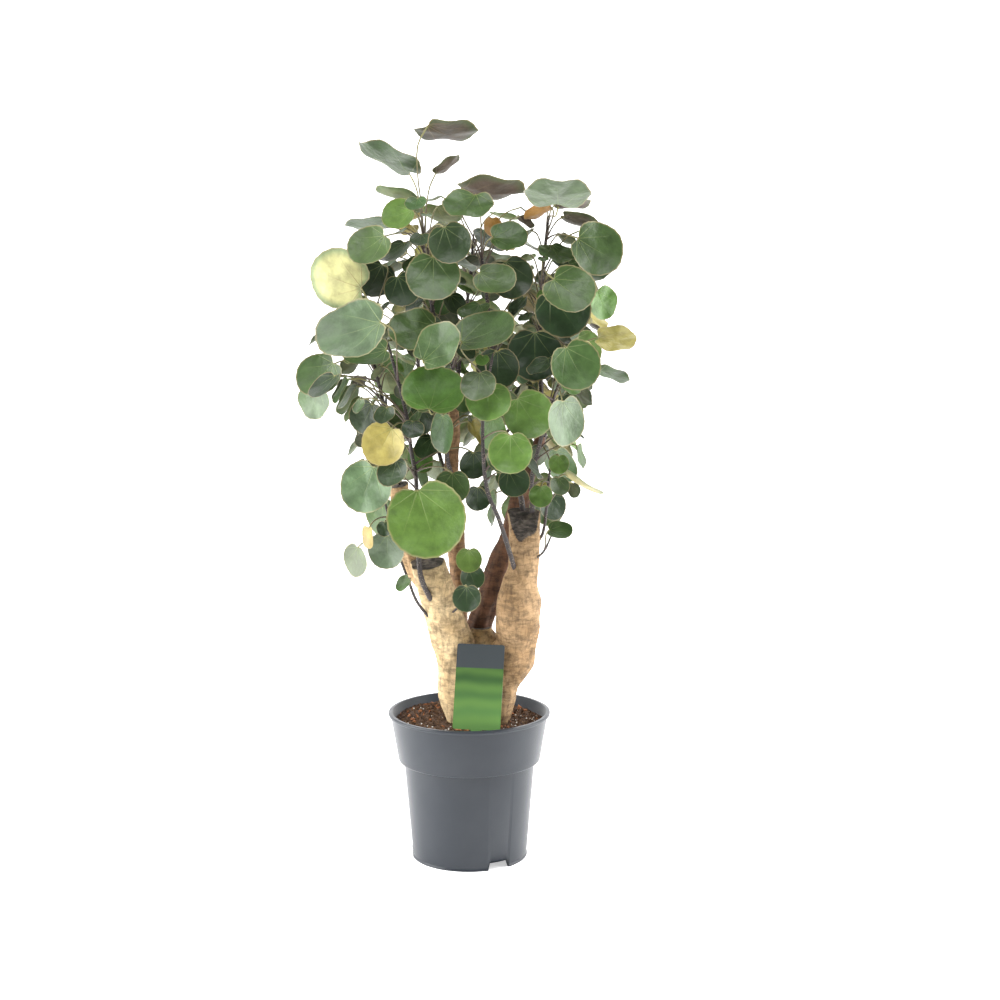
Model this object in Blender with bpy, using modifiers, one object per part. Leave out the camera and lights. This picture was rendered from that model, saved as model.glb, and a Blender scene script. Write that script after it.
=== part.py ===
"""Fabian aralia (Polyscias scutellaria), a stump plant in a round nursery pot.

Two sawn stumps, a dark back stump and two boughs rise from one thick foot. Leafy stems grow from them, and
every leaf is a round, cupped blade on a long stalk. Each stem with its leaves is one solid, the spray.

Lengths are in millimetres, and MM turns them into Blender's metres. +X is to the right, +Y is away from the
front, +Z is up, and the origin is the middle of the pot's flat underside.
"""

import math
from collections import namedtuple

import bmesh
import bpy
import numpy as np
from mathutils import Matrix, Vector

MM = 0.001
GAP = 0.3

POT_HEIGHT = 192.0
RIM_RADIUS = 105.0
COLLAR_FOOT = 130.0
COLLAR_RADIUS = 92.5
BODY_RADIUS = 85.0
FOOT_RADIUS = 75.5
WALL = 2.0
FLOOR_RISE = 9.0
FLOOR = 2.5
SEAT_RADIUS = 46.0
NOTCH_WIDTH = 30.0
NOTCH_BEARINGS = (32.0, 152.0, 272.0)
POT_STEPS = 32

SOIL_TOP = 182.0
SOIL_EDGE = 178.0
FORK_HEIGHT = 283.0

TAG_WIDTH = 61.0
TAG_HEIGHT = 108.0
TAG_THICK = 1.0
TAG_STAKE = (14.0, 22.0)
TAG_FOOT = (10.0, -80.0, 188.0)
TAG_LEAN = 19.0
TAG_YAW = 10.0
TAG_CORNER = 3.0

# Where the plant's measured view was taken from: leaves slide along lines to this point.
EYE = np.array((40.0, -2300.0, 800.0))

# Rows are x, y, z and radius along the limb's middle, from its foot to its tip.
LIMBS = {
    "left_stump": (
        (-3, -10, 170, 22), (-11, -11, 208, 25), (-15, -11, 250, 25), (-20, -12, 284, 26),
        (-30, -14, 313, 25), (-39, -16, 343, 24), (-47, -18, 371, 23), (-57, -21, 400, 20),
    ),
    "right_stump": (
        (28, -11, 170, 20), (37, -12, 207, 22), (43, -13, 236, 23), (55, -15, 266, 28),
        (61, -16, 286, 25), (63, -18, 309, 28), (64, -20, 340, 28), (65, -20, 362, 24),
        (70, -20, 385, 20), (71, -18, 425, 20), (70, -16, 470, 21),
    ),
    "back_stump": (
        (11, 24, 168, 20), (11, 24, 214, 20), (12, 23, 267, 17), (13, 23, 301, 16),
        (25, 22, 334, 16), (33, 22, 360, 16), (42, 24, 386, 16), (53, 25, 412, 15),
        (62, 27, 447, 14), (66, 29, 468, 13), (77, 30, 498, 9), (88, 32, 529, 7.5), (92, 34, 548, 6.5),
    ),
    "middle_bough": (
        (-16, 44, 170, 18), (-16, 44, 225, 16), (-16, 44, 271, 14), (-15, 45, 320, 12),
        (-14, 45, 363, 12), (-19, 46, 429, 11), (-23, 46, 501, 9.5), (-20, 44, 560, 8), (-25, 40, 613, 6.5),
    ),
    "left_bough": (
        (-40, -10, 345, 10), (-62, -1, 368, 12), (-76, 4, 395, 12), (-85, 8, 441, 12), (-92, 12, 505, 13),
    ),
}
LIMB_SIDES = {"left_stump": 4, "right_stump": 4, "back_stump": 3, "middle_bough": 2, "left_bough": 2}
BURL = ((14, 8, 170, 30), (14, 8, 215, 36), (15, 7, 250, 36), (16, 8, 276, 30), (16, 8, 300, 12))

# Rows are height, and the crown's left and right edge there, which no leaf of the rule passes.
CROWN = (
    (340, -70, 70), (390, -125, 105), (480, -160, 145), (560, -168, 150), (630, -212, 180),
    (700, -195, 185), (790, -150, 160), (860, -115, 148), (940, -60, 60),
)

# Saw cuts across the limbs: the limb, a point of the cut and the direction that the cut faces.
SAW_CUTS = (
    ("left_stump", (-55, -20, 391), (-0.1, -0.3, 1.0)),
    ("right_stump", (70, -16, 456), (0.05, -0.12, 1.0)),
    ("right_stump", (70, -37, 424), (0.0, -0.9, 0.43)),
    ("left_bough", (-91, 12, 487), (-0.2, -0.2, 1.0)),
)

PETIOLE_RADIUS = 1.2
STALK_AT = 0.38
BLADE_CUP = 0.07
NOTCH_DEPTH = 0.24
NOTCH_SPREAD = 0.30
RIM_BEARINGS = (0, 36, 84, 132, 180, 228, 276, 324)
GOLDEN_ANGLE = math.radians(137.5)

Mark = namedtuple("Mark", "x z depth width face tip tint")
Spray = namedtuple("Spray", "name limb route radius leaves widths space seed marks")


def mark(x, z, depth, width, face, tip, tint="green"):
    """One leaf read from the plant: its middle seen on the axis plane, how far behind or before that plane it
    is, its width, and the directions of its upper side and of its tip."""
    return Mark(x, z, depth, width, face, tip, tint)


SPRAYS = (
    Spray(
        "top_spray", "middle_bough",
        ((-24, 41, 598), (-28, 36, 640), (-42, 26, 684), (-50, 18, 748), (-56, 10, 798)), (4.5, 2.2),
        12, (38, 62), ((-75, 30, 770), (85, 70, 120)), 11,
        (
            mark(-27, 928, 5, 82, (0, 1, 3.5), (2, 2, 0), "bronze"),
            mark(-100, 893, 10, 88, (4, -3, 8), (-8, 3, 5)),
            mark(-26, 888, 20, 42, (-2, 1, 3), (3, 0, 2), "bronze"),
            mark(-88, 850, 25, 60, (1, 1, 4), (-4, 0, 1)),
            mark(-86, 829, -5, 46, (-1, -3, 2), (-3, -1, 0), "bright"),
            mark(-122, 813, 0, 66, (0, -1, 4), (-4, 0, 0)),
            mark(-123, 790, -25, 58, (-1, -3, 2), (-3, 0, -2)),
            mark(-44, 752, -55, 68, (0, -4, 2), (0, 0, -1)),
            mark(-23, 794, -30, 54, (0, -4, 1), (1, 0, -3), "dark"),
            mark(-83, 736, -10, 46, (0, -3, 1), (1, 0, -3), "dark"),
        ),
    ),
    Spray(
        "crown_spray", "right_stump",
        ((70, -6, 440), (66, -4, 475), (50, 0, 507), (40, 4, 571), (32, 6, 634), (25, 6, 710), (17, 4, 775)),
        (4.5, 2.0),
        10, (38, 60), ((30, 20, 740), (70, 70, 120)), 12,
        (
            mark(26, 855, 5, 92, (0, 1, 3.5), (4, 0, -0.5), "bronze"),
            mark(0, 840, -15, 64, (0, -2, 3), (-1, -3, 0)),
            mark(50, 800, -25, 50, (0, -2, 2), (3, 0, 0)),
            mark(54, 751, -30, 56, (0, -4, 1), (1, 0, -3), "dark"),
            mark(33, 748, -60, 54, (0, -3, 3), (3, -1, -1)),
            mark(30, 815, 0, 26, (1, -2, 0), (0, 0, -1), "amber"),
        ),
    ),
    Spray(
        "right_top_spray", "back_stump",
        ((90, 33, 536), (92, 33, 562), (93, 26, 595), (91, 20, 659), (92, 12, 735), (100, 8, 820)), (4.5, 2.2),
        12, (38, 62), ((125, 30, 760), (80, 75, 110)), 13,
        (
            mark(112, 850, -5, 84, (0, -1, 2), (0, 2, 1), "pale"),
            mark(129, 841, 18, 50, (0, 1, 3), (3, 0, -1), "bronze"),
            mark(90, 832, 0, 42, (-1, 1, 2), (-3, 0, 0), "amber"),
            mark(138, 818, 8, 54, (1, 1, 3), (3, 0, -1.5), "bronze"),
            mark(160, 786, -18, 70, (1, -3, 1), (2, 0, -1)),
            mark(148, 762, -34, 70, (0, -2, 3), (3, -1, 0)),
            mark(127, 734, -45, 66, (0, -3, 2), (2, 0, -2)),
            mark(119, 710, -70, 70, (0, -4, 1), (2, 0, -3), "dark"),
            mark(168, 720, -10, 44, (2, -3, 0), (2, 0, -3), "bright"),
        ),
    ),
    Spray(
        "right_spray", "right_stump",
        ((78, -14, 440), (81, -16, 462), (80, -24, 498), (91, -36, 550), (106, -44, 601), (129, -46, 660)),
        (4.0, 2.0),
        10, (36, 60), ((135, -25, 620), (75, 70, 100)), 14,
        (
            mark(185, 672, -40, 54, (0, -2, 3), (3, 0, -1), "yellow"),
            mark(135, 641, -85, 64, (1, -4, 1), (1, 0, -2)),
            mark(148, 662, -55, 46, (2, -3, 1), (2, 0, -2), "bright"),
            mark(182, 627, -45, 46, (1, -1, 3), (3, 0, -2)),
            mark(84, 655, -65, 70, (0, -4, 1), (0, 0, -1), "dark"),
            mark(76, 578, -90, 62, (0, -4, 1), (2, 0, -3), "bright"),
            mark(120, 571, -75, 64, (3, -3, 0), (1, 0, -4), "pale"),
        ),
    ),
    Spray(
        "front_right_spray", "right_stump",
        (
            (60, -28, 378), (54, -44, 402), (39, -54, 451), (24, -62, 490),
            (19, -70, 541), (20, -74, 597), (30, -70, 652),
        ),
        (4.0, 2.0),
        8, (34, 56), ((40, -75, 590), (70, 50, 110)), 15,
        (
            mark(53, 530, -100, 54, (0, -4, 1), (0, 0, -1), "bright"),
            mark(25, 594, -105, 56, (0, -3, 2), (0, -1, -2), "bright"),
            mark(37, 638, -80, 54, (0, -4, 0), (0, 0, -1), "dark"),
            mark(58, 492, -62, 40, (0, -3, 1), (1, 0, -2), "dark"),
            mark(11, 472, -60, 34, (1, -3, 0), (0, 0, -1), "dark"),
            mark(21, 680, -90, 80, (-1, -2, 3), (3, 0, 1.5)),
        ),
    ),
    Spray(
        "front_spray", "middle_bough",
        ((-22, 45, 480), (-24, 36, 500), (-28, 22, 520), (-29, -6, 565), (-23, -26, 612), (-15, -38, 669)),
        (4.0, 2.0),
        10, (34, 56), ((-20, -30, 630), (75, 60, 110)), 16,
        (
            mark(-38, 664, -80, 66, (-2, -3, 2), (2, 0, 2)),
            mark(-44, 606, -108, 80, (0, -2, 2), (0.5, 2, 2), "bright"),
            mark(28, 556, -50, 46, (3, -3, 0), (0, 0, -1), "bright"),
            mark(-30, 556, -62, 54, (-3, -2, 0), (0, 0, -1)),
            mark(-67, 684, -45, 68, (0, -2, 2), (-2, 0, -1)),
        ),
    ),
    Spray(
        "left_front_spray", "left_stump",
        (
            (-42, -24, 336), (-50, -40, 352), (-59, -50, 376), (-62, -50, 400), (-64, -48, 450), (-65, -48, 501),
            (-71, -46, 538), (-76, -44, 578), (-87, -42, 625), (-99, -42, 669),
        ),
        (4.5, 2.2),
        8, (36, 56), ((-100, -55, 560), (75, 55, 140)), 17,
        (
            mark(-54, 444, -95, 98, (0, -5, 1), (0.3, 0, -1), "bright"),
            mark(-108, 541, -90, 56, (-1, -4, 1), (-1, 0, -2), "yellow"),
            mark(-130, 486, -65, 68, (-1, -4, 1), (-1, 0, -3), "pale"),
            mark(-21, 486, -75, 44, (0, -4, 1), (0, 0, -1)),
            mark(6, 515, -75, 38, (1, -3, 0), (0, 0, -1), "dark"),
            mark(-145, 683, -80, 92, (-1, -3, 3), (-4, 0, -1), "pale"),
        ),
    ),
    Spray(
        "left_spray", "left_bough",
        ((-89, 11, 466), (-92, 8, 500), (-99, 0, 546), (-108, -6, 595), (-119, -12, 646), (-122, -14, 690)),
        (4.0, 2.0),
        10, (36, 58), ((-145, -10, 630), (65, 60, 130)), 18,
        (
            mark(-163, 748, -15, 80, (1, 4, 1), (-3, 0, 1), "pale"),
            mark(-117, 750, -15, 52, (0, -3, 1), (-1, 0, -2), "dark"),
            mark(-128, 655, -50, 62, (0, -2, 3), (-3, 0, -1)),
            mark(-188, 627, -20, 62, (-1, -3, 2), (-2, 0, -2)),
            mark(-194, 597, -12, 50, (-2, -3, 0), (-1, 0, -3), "pale"),
            mark(-129, 576, -50, 46, (-1, -3, 0), (-1, 0, -2), "dark"),
        ),
    ),
    Spray(
        "low_left_spray", "left_stump",
        (
            (-34, -18, 308), (-50, -30, 322), (-66, -38, 345), (-76, -40, 372),
            (-86, -40, 400), (-96, -42, 436), (-104, -44, 469),
        ),
        (2.6, 1.6),
        3, (26, 44), ((-118, -40, 430), (50, 50, 80)), 19,
        (
            mark(-105, 404, -62, 48, (-1, -4, 0), (0, 0, -1), "pale"),
            mark(-144, 391, -45, 44, (-3, -3, 0), (-0.3, 0, -1), "pale"),
            mark(-127, 421, -60, 30, (-3, -2, 0), (0, 0, -1), "yellow"),
            mark(-110, 449, -45, 50, (-2, -3, 0), (0, 0, -1)),
            mark(-84, 360, -48, 24, (-1, -1, 1), (-2, 0, -1.5)),
        ),
    ),
    Spray(
        "centre_shoot", "left_stump",
        ((-30, -20, 320), (-16, -40, 334), (-8, -46, 348), (-4, -46, 372), (0, -46, 408)), (2.0, 1.4),
        0, (20, 30), ((0, -50, 370), (40, 40, 60)), 20,
        (
            mark(0, 391, -62, 33, (0, -4, 1), (0, 0, -1), "bright"),
            mark(4, 368, -50, 32, (1, -4, 1), (1, 0, -3), "dark"),
            mark(-3, 341, -64, 36, (0, -4, 1), (0, 0, -1), "dark"),
        ),
    ),
    Spray(
        "low_right_spray", "right_stump",
        ((80, -18, 408), (94, -20, 428), (99, -22, 462), (101, -27, 495), (104, -30, 520)), (2.6, 1.6),
        3, (26, 44), ((120, -20, 500), (50, 50, 60)), 21,
        (
            mark(142, 488, -40, 62, (3, 1, 5), (5, 0, -3), "pale"),
            mark(115, 515, -55, 26, (0, -4, 1), (0, 0, -1), "bright"),
            mark(92, 474, -55, 30, (0, -4, 1), (0, 0, -1), "bright"),
        ),
    ),
    Spray(
        "stump_shoot", "right_stump",
        ((74, -24, 392), (88, -30, 400), (97, -32, 410), (104, -34, 426)), (2.4, 1.4),
        0, (20, 30), ((110, -30, 430), (30, 30, 30)), 22,
        (mark(116, 428, -42, 34, (0, -2, 3), (3, 0, -0.5)),),
    ),
    Spray(
        "top_back_spray", "middle_bough",
        ((-22, 42, 575), (-16, 60, 612), (-10, 80, 670), (0, 96, 740), (5, 102, 800)), (4.0, 2.0),
        22, (42, 66), ((5, 110, 760), (100, 85, 120)), 23, (),
    ),
    Spray(
        "back_left_spray", "middle_bough",
        ((-20, 46, 455), (-32, 68, 492), (-48, 94, 545), (-64, 112, 610), (-76, 122, 680)), (4.0, 2.0),
        24, (42, 66), ((-95, 120, 650), (100, 95, 125)), 24, (),
    ),
    Spray(
        "back_centre_spray", "back_stump",
        ((62, 29, 452), (58, 54, 486), (46, 84, 540), (36, 104, 610), (30, 116, 680)), (4.0, 2.0),
        24, (42, 66), ((25, 140, 620), (100, 85, 125)), 25, (),
    ),
    Spray(
        "back_right_spray", "back_stump",
        ((76, 31, 492), (92, 52, 526), (108, 80, 580), (116, 98, 650), (120, 106, 720)), (4.0, 2.0),
        24, (42, 66), ((115, 115, 660), (90, 90, 125)), 26, (),
    ),
    Spray(
        "low_back_right_spray", "back_stump",
        ((44, 26, 388), (60, 48, 412), (76, 72, 452), (84, 92, 500), (88, 102, 540)), (3.4, 1.8),
        16, (38, 60), ((85, 90, 480), (75, 85, 85)), 27, (),
    ),
    Spray(
        "low_back_left_spray", "left_bough",
        ((-84, 8, 432), (-92, 34, 458), (-102, 60, 500), (-108, 76, 550), (-110, 84, 590)), (3.4, 1.8),
        16, (38, 60), ((-95, 85, 510), (75, 80, 100)), 28, (),
    ),
)


# Growth rule

def unit(vector):
    return np.asarray(vector, float) / np.linalg.norm(vector)


def smooth(points, per_span):
    """A Catmull-Rom curve through the rows of points, with per_span steps between each two."""
    points = np.asarray(points, float)
    ends = (2 * points[:1] - points[1:2], points, 2 * points[-1:] - points[-2:-1])
    rows = np.vstack(ends)
    t = np.arange(per_span)[:, None] / per_span
    spans = [
        0.5 * (2 * b + (c - a) * t + (2 * a - 5 * b + 4 * c - d) * t**2 + (3 * b - a - 3 * c + d) * t**3)
        for a, b, c, d in zip(rows, rows[1:], rows[2:], rows[3:])
    ]
    return np.vstack(spans + [points[-1:]])


def balls_along(points, radii, step):
    """Balls as rows of x, y, z and radius, at most step apart along a line."""
    lengths = np.linalg.norm(np.diff(points, axis=0), axis=1)
    at = np.concatenate([[0], np.cumsum(lengths)])
    want = np.linspace(0, at[-1], max(2, int(at[-1] / step) + 1))
    columns = [np.interp(want, at, points[:, k]) for k in range(3)]
    return np.column_stack(columns + [np.interp(want, at, radii)])


def blade_point(leaf, bearing, reach):
    """A point of the blade's middle surface: bearing 0 is the notch, and reach runs from 0 at the middle to 1
    at the rim. The rim is r = w/2 (1 - NOTCH_DEPTH exp(-(bearing / NOTCH_SPREAD)^2)), lifted by the cup."""
    turn = (bearing + math.pi) % (2 * math.pi) - math.pi
    rim = 0.5 * leaf.width * (1 - NOTCH_DEPTH * math.exp(-((turn / NOTCH_SPREAD) ** 2)))
    side = np.cross(leaf.tip, leaf.face)
    flat = reach * rim * (-leaf.tip * math.cos(bearing) - side * math.sin(bearing))
    lift = BLADE_CUP * leaf.width * (2 * reach * rim / leaf.width) ** 2
    return leaf.middle + flat + lift * leaf.face


Leaf = namedtuple("Leaf", "middle face tip width tint stalk")


def leaf_of(middle, face, tip, width, tint):
    face = unit(face)
    tip = np.asarray(tip, float)
    return Leaf(np.asarray(middle, float), face, unit(tip - face * (tip @ face)), width, tint, None)


def with_stalk(leaf, start):
    """The leaf with a stalk that leaves the stem at start, bends up and enters the blade along its midrib."""
    joint = blade_point(leaf, 0, 0.98)
    reach = np.linalg.norm(joint - start)
    run = unit(joint - start)
    first = start + 0.35 * reach * unit(run + np.array((0, 0, 0.5)))
    last = joint - 0.28 * reach * unit(leaf.tip + 0.8 * run)
    t = np.linspace(0, 1, 5)[:, None]
    curve = (1 - t) ** 3 * start + 3 * (1 - t) ** 2 * t * first + 3 * (1 - t) * t**2 * last + t**3 * joint
    return leaf._replace(stalk=np.vstack([curve, blade_point(leaf, 0.15, 0.45)]))


def leaf_balls(leaf):
    """Balls that cover the blade: its middle and four rings of 6, 12, 18 and 24."""
    points = [blade_point(leaf, 0, 0)]
    for ring in (1, 2, 3, 4):
        points += [blade_point(leaf, 2 * math.pi * k / (6 * ring), ring / 4) for k in range(6 * ring)]
    return np.column_stack([points, np.full(len(points), 0.065 * leaf.width + 0.6)])


def stalk_balls(leaf):
    return balls_along(leaf.stalk[:5], np.full(5, PETIOLE_RADIUS), 5.0)[1:-1]


WOOD, STALK, BLADE = 0, 1, 2


class Space:
    """Every ball placed so far, with the spray that it belongs to and its kind."""

    def __init__(self):
        self.balls = np.zeros((0, 4))
        self.owner = np.zeros(0, int)
        self.kind = np.zeros(0, int)

    def add(self, balls, owner, kind):
        self.balls = np.vstack([self.balls, balls])
        self.owner = np.concatenate([self.owner, np.full(len(balls), owner)])
        self.kind = np.concatenate([self.kind, np.full(len(balls), kind)])

    def clear_of(self, balls, keep, margin):
        """True when no ball comes nearer than margin to the placed balls that keep selects."""
        middle = balls[:, :3].mean(axis=0)
        reach = np.linalg.norm(balls[:, :3] - middle, axis=1).max() + 20
        near = keep & (np.linalg.norm(self.balls[:, :3] - middle, axis=1) < reach + self.balls[:, 3])
        others = self.balls[near]
        if not len(others):
            return True
        apart = np.linalg.norm(balls[:, None, :3] - others[None, :, :3], axis=2)
        return bool((apart - balls[:, None, 3] - others[None, :, 3]).min() > margin)

    def takes(self, leaf, owner):
        blade, stalk = leaf_balls(leaf), stalk_balls(leaf)
        own = self.owner == owner
        wood, stalks, blades = (self.kind == kind for kind in (WOOD, STALK, BLADE))
        return (
            self.clear_of(blade, np.full(len(own), True), 0.5)
            and self.clear_of(stalk, blades | (wood & ~own) | (stalks & ~own), 0.8)
        )


def grow_mark(mark, stem, space, owner):
    """The marked leaf, slid along its line of sight until it and its stalk are clear, or None."""
    seen = np.array((mark.x, 0.0, mark.z))
    for slide in (0, -8, 8, -16, 16, -24, 24, -34, 34, -46, 46):
        middle = seen + (seen - EYE) * (mark.depth + slide) / -EYE[1]
        leaf = leaf_of(middle, mark.face, mark.tip, mark.width, mark.tint)
        joint = blade_point(leaf, 0, 1)
        far = np.linalg.norm(stem[:, :3] - joint, axis=1)
        wish = abs(far - max(22.0, 0.8 * mark.width)) + np.maximum(0, stem[:, 2] - joint[2] - 10)
        for at in np.argsort(wish)[:6]:
            grown = with_stalk(leaf, stem[at, :3])
            if space.takes(grown, owner):
                return grown
    return None


def in_crown(leaf):
    """True when the blade stays between the crown's edges."""
    points = leaf_balls(leaf)[:, :3]
    heights, left, right = zip(*CROWN)
    past_left = points[:, 0] > np.interp(points[:, 2], heights, left)
    short_of_right = points[:, 0] < np.interp(points[:, 2], heights, right)
    return bool((past_left & short_of_right).all())


def grow_leaf(spray, stem, turn, height, space, owner, random):
    """One leaf by the rule: it leaves the stem at height, a share of its length, toward the bearing turn. Low
    leaves hang and face outward, and high ones lie flat. A leaf that can't keep clear is tried again."""
    centre, half = (np.array(row, float) for row in spray.space)
    for attempt in range(30):
        start = stem[int(height * (len(stem) - 1)), :3]
        angle = turn + random.uniform(-0.6, 0.6)
        outward = np.array((math.cos(angle), math.sin(angle), 0.0))
        high = np.clip((start[2] - 420) / 420, 0, 1)
        rise = math.radians(15 + 45 * high + random.uniform(-12, 12))
        tilt = math.radians(12 + 58 * high + random.uniform(-14, 14))
        width = random.uniform(*spray.widths) * (1 - 0.016 * attempt)
        length = random.uniform(32, 95)
        face = math.cos(tilt) * outward + (0, 0, math.sin(tilt))
        down = math.sin(tilt) * outward - (0, 0, math.cos(tilt))
        joint = start + length * (math.cos(rise) * outward + (0, 0, math.sin(rise)))
        middle = joint + STALK_AT * width * down
        leaf = with_stalk(leaf_of(middle, face, down, width, None), start)
        inside = (((middle - centre) / half) ** 2).sum() < 1 and in_crown(leaf)
        if inside and space.takes(leaf, owner):
            return leaf
    return None


TINTS = (("green", 46), ("dark", 24), ("bright", 16), ("pale", 6), ("bronze", 4), ("yellow", 4))


def grown_sprays():
    """The stem and leaves of each spray, by name: marked leaves first, then the rest by the golden angle."""
    space = Space()
    for rows in LIMBS.values():
        line = smooth(rows, 3)
        space.add(balls_along(line, line[:, 3], 6.0), -1, WOOD)
    stems = []
    for owner, spray in enumerate(SPRAYS):
        line = smooth(spray.route, 4)
        radii = np.linspace(*spray.radius, len(line))
        stems.append(np.column_stack([line, radii]))
        space.add(balls_along(line, radii, 5.0), owner, WOOD)
    grown = [[] for _ in SPRAYS]

    def keep(owner, leaf):
        grown[owner].append(leaf)
        space.add(leaf_balls(leaf), owner, BLADE)
        space.add(stalk_balls(leaf), owner, STALK)

    for owner, spray in enumerate(SPRAYS):
        for seen in spray.marks:
            leaf = grow_mark(seen, stems[owner], space, owner)
            if leaf is None:
                print("no room for the marked leaf", spray.name, seen.x, seen.z)
            else:
                keep(owner, leaf)
    names, shares = zip(*TINTS)
    shares = np.array(shares) / sum(shares)
    for owner, spray in enumerate(SPRAYS):
        random = np.random.default_rng(spray.seed)
        for count in range(spray.leaves):
            height = 1 - 0.62 * (count / max(1, spray.leaves)) ** 0.8
            turn = spray.seed + count * GOLDEN_ANGLE
            leaf = grow_leaf(spray, stems[owner], turn, height, space, owner, random)
            tint = names[random.choice(len(names), p=shares)]
            if leaf is not None:
                keep(owner, leaf._replace(tint=tint))
        print(spray.name, len(grown[owner]), "leaves")
    return {spray.name: (stems[k], grown[k]) for k, spray in enumerate(SPRAYS)}


# Blender helpers

def clear_scene():
    for obj in list(bpy.data.objects):
        bpy.data.objects.remove(obj, do_unlink=True)


def collection(name):
    made = bpy.data.collections.new(name)
    bpy.context.scene.collection.children.link(made)
    return made


def material(name, colour, roughness):
    """A Principled material of an sRGB colour written as hex."""
    made = bpy.data.materials.new(name)
    made.use_nodes = True
    channels = [int(colour[k : k + 2], 16) / 255 for k in (0, 2, 4)]
    linear = [c / 12.92 if c <= 0.04045 else ((c + 0.055) / 1.055) ** 2.4 for c in channels]
    shader = made.node_tree.nodes["Principled BSDF"]
    shader.inputs["Base Color"].default_value = (*linear, 1)
    shader.inputs["Roughness"].default_value = roughness
    return made


def link(name, data, folder):
    made = bpy.data.objects.new(name, data)
    folder.objects.link(made)
    return made


def mesh_object(name, mesh, folder):
    data = bpy.data.meshes.new(name)
    mesh.to_mesh(data)
    mesh.free()
    return link(name, data, folder)


def tube(name, rows, folder, sides=2, grow=0.0, profile=None):
    """A curve object along rows of x, y, z and radius, with filled ends."""
    curve = bpy.data.curves.new(name, "CURVE")
    curve.dimensions = "3D"
    curve.use_fill_caps = True
    curve.bevel_depth = MM
    curve.bevel_resolution = sides
    if profile is not None:
        curve.bevel_mode = "OBJECT"
        curve.bevel_object = profile
    spline = curve.splines.new("POLY")
    spline.points.add(len(rows) - 1)
    for point, (x, y, z, radius) in zip(spline.points, rows):
        point.co = (x * MM, y * MM, z * MM, 1)
        point.radius = radius + grow
    return link(name, curve, folder)


def triangle_profile(folder):
    """A three-sided outline of 1 mm radius, which a stalk's curve is swept along."""
    curve = bpy.data.curves.new("stalk_profile", "CURVE")
    curve.dimensions = "2D"
    spline = curve.splines.new("POLY")
    spline.points.add(2)
    for k, point in enumerate(spline.points):
        angle = 2 * math.pi * k / 3
        point.co = (MM * math.cos(angle), MM * math.sin(angle), 0, 1)
    spline.use_cyclic_u = True
    made = link("stalk_profile", curve, folder)
    made.hide_render = True
    return made


def to_meshes(objects):
    """Curve objects made into closed mesh objects of the same names."""
    bpy.context.view_layer.update()
    graph = bpy.context.evaluated_depsgraph_get()
    made = []
    for obj in objects:
        mesh = bmesh.new()
        data = bpy.data.meshes.new_from_object(obj.evaluated_get(graph))
        mesh.from_mesh(data)
        bmesh.ops.remove_doubles(mesh, verts=mesh.verts, dist=0.001 * MM)
        bmesh.ops.recalc_face_normals(mesh, faces=mesh.faces)
        folder = obj.users_collection[0]
        name = obj.name
        bpy.data.objects.remove(obj)
        made.append(mesh_object(name, mesh, folder))
    return made


def boolean(obj, operation, other, solver="EXACT"):
    modifier = obj.modifiers.new(operation.lower(), "BOOLEAN")
    modifier.operation = operation
    modifier.solver = solver
    if isinstance(other, bpy.types.Collection):
        modifier.operand_type = "COLLECTION"
        modifier.collection = other
    else:
        modifier.object = other


def apply_modifiers(obj):
    bpy.context.view_layer.update()
    graph = bpy.context.evaluated_depsgraph_get()
    obj.data = bpy.data.meshes.new_from_object(obj.evaluated_get(graph))
    obj.modifiers.clear()


def drop_scraps(obj):
    """Keeps only the largest of the mesh's separate bodies."""
    mesh = bmesh.new()
    mesh.from_mesh(obj.data)
    left, bodies = set(mesh.verts), []
    while left:
        queue = [left.pop()]
        body = set(queue)
        while queue:
            for edge in queue.pop().link_edges:
                for vert in edge.verts:
                    if vert in left:
                        left.remove(vert)
                        body.add(vert)
                        queue.append(vert)
        bodies.append(body)
    bodies.sort(key=len)
    for body in bodies[:-1]:
        bmesh.ops.delete(mesh, geom=list(body), context="VERTS")
    mesh.to_mesh(obj.data)
    mesh.free()


def half_space(name, point, normal, folder, size=400.0):
    """A cube that fills the side of a plane that its normal points to."""
    mesh = bmesh.new()
    turn = Vector(normal).normalized().to_track_quat("Z", "Y").to_matrix().to_4x4()
    place = Matrix.Translation(Vector(point) * MM) @ turn @ Matrix.Translation((0, 0, 0.5 * size * MM))
    bmesh.ops.create_cube(mesh, size=size * MM, matrix=place)
    made = mesh_object(name, mesh, folder)
    made.hide_render = True
    made.display_type = "WIRE"
    return made


def turned(name, profile, folder):
    """A Screw-turned solid of rows of radius and height, from the axis round to the axis again."""
    data = bpy.data.meshes.new(name)
    edges = [(k, k + 1) for k in range(len(profile) - 1)]
    data.from_pydata([(r * MM, 0, z * MM) for r, z in profile], edges, [])
    made = link(name, data, folder)
    screw = made.modifiers.new("turn", "SCREW")
    screw.steps = screw.render_steps = POT_STEPS
    screw.use_merge_vertices = True
    screw.merge_threshold = 0.00001
    return made


# Pot, soil and tag

def inner_wall(height, clearance=0.0):
    """The pot's inner radius at a height above the floor."""
    knots = ((FLOOR_RISE + FLOOR, FOOT_RADIUS - WALL), (COLLAR_FOOT - 1, BODY_RADIUS - WALL),
             (COLLAR_FOOT + 1.5, COLLAR_RADIUS - WALL), (POT_HEIGHT, RIM_RADIUS - 5.0))
    return float(np.interp(height, *zip(*knots))) - clearance


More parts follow.
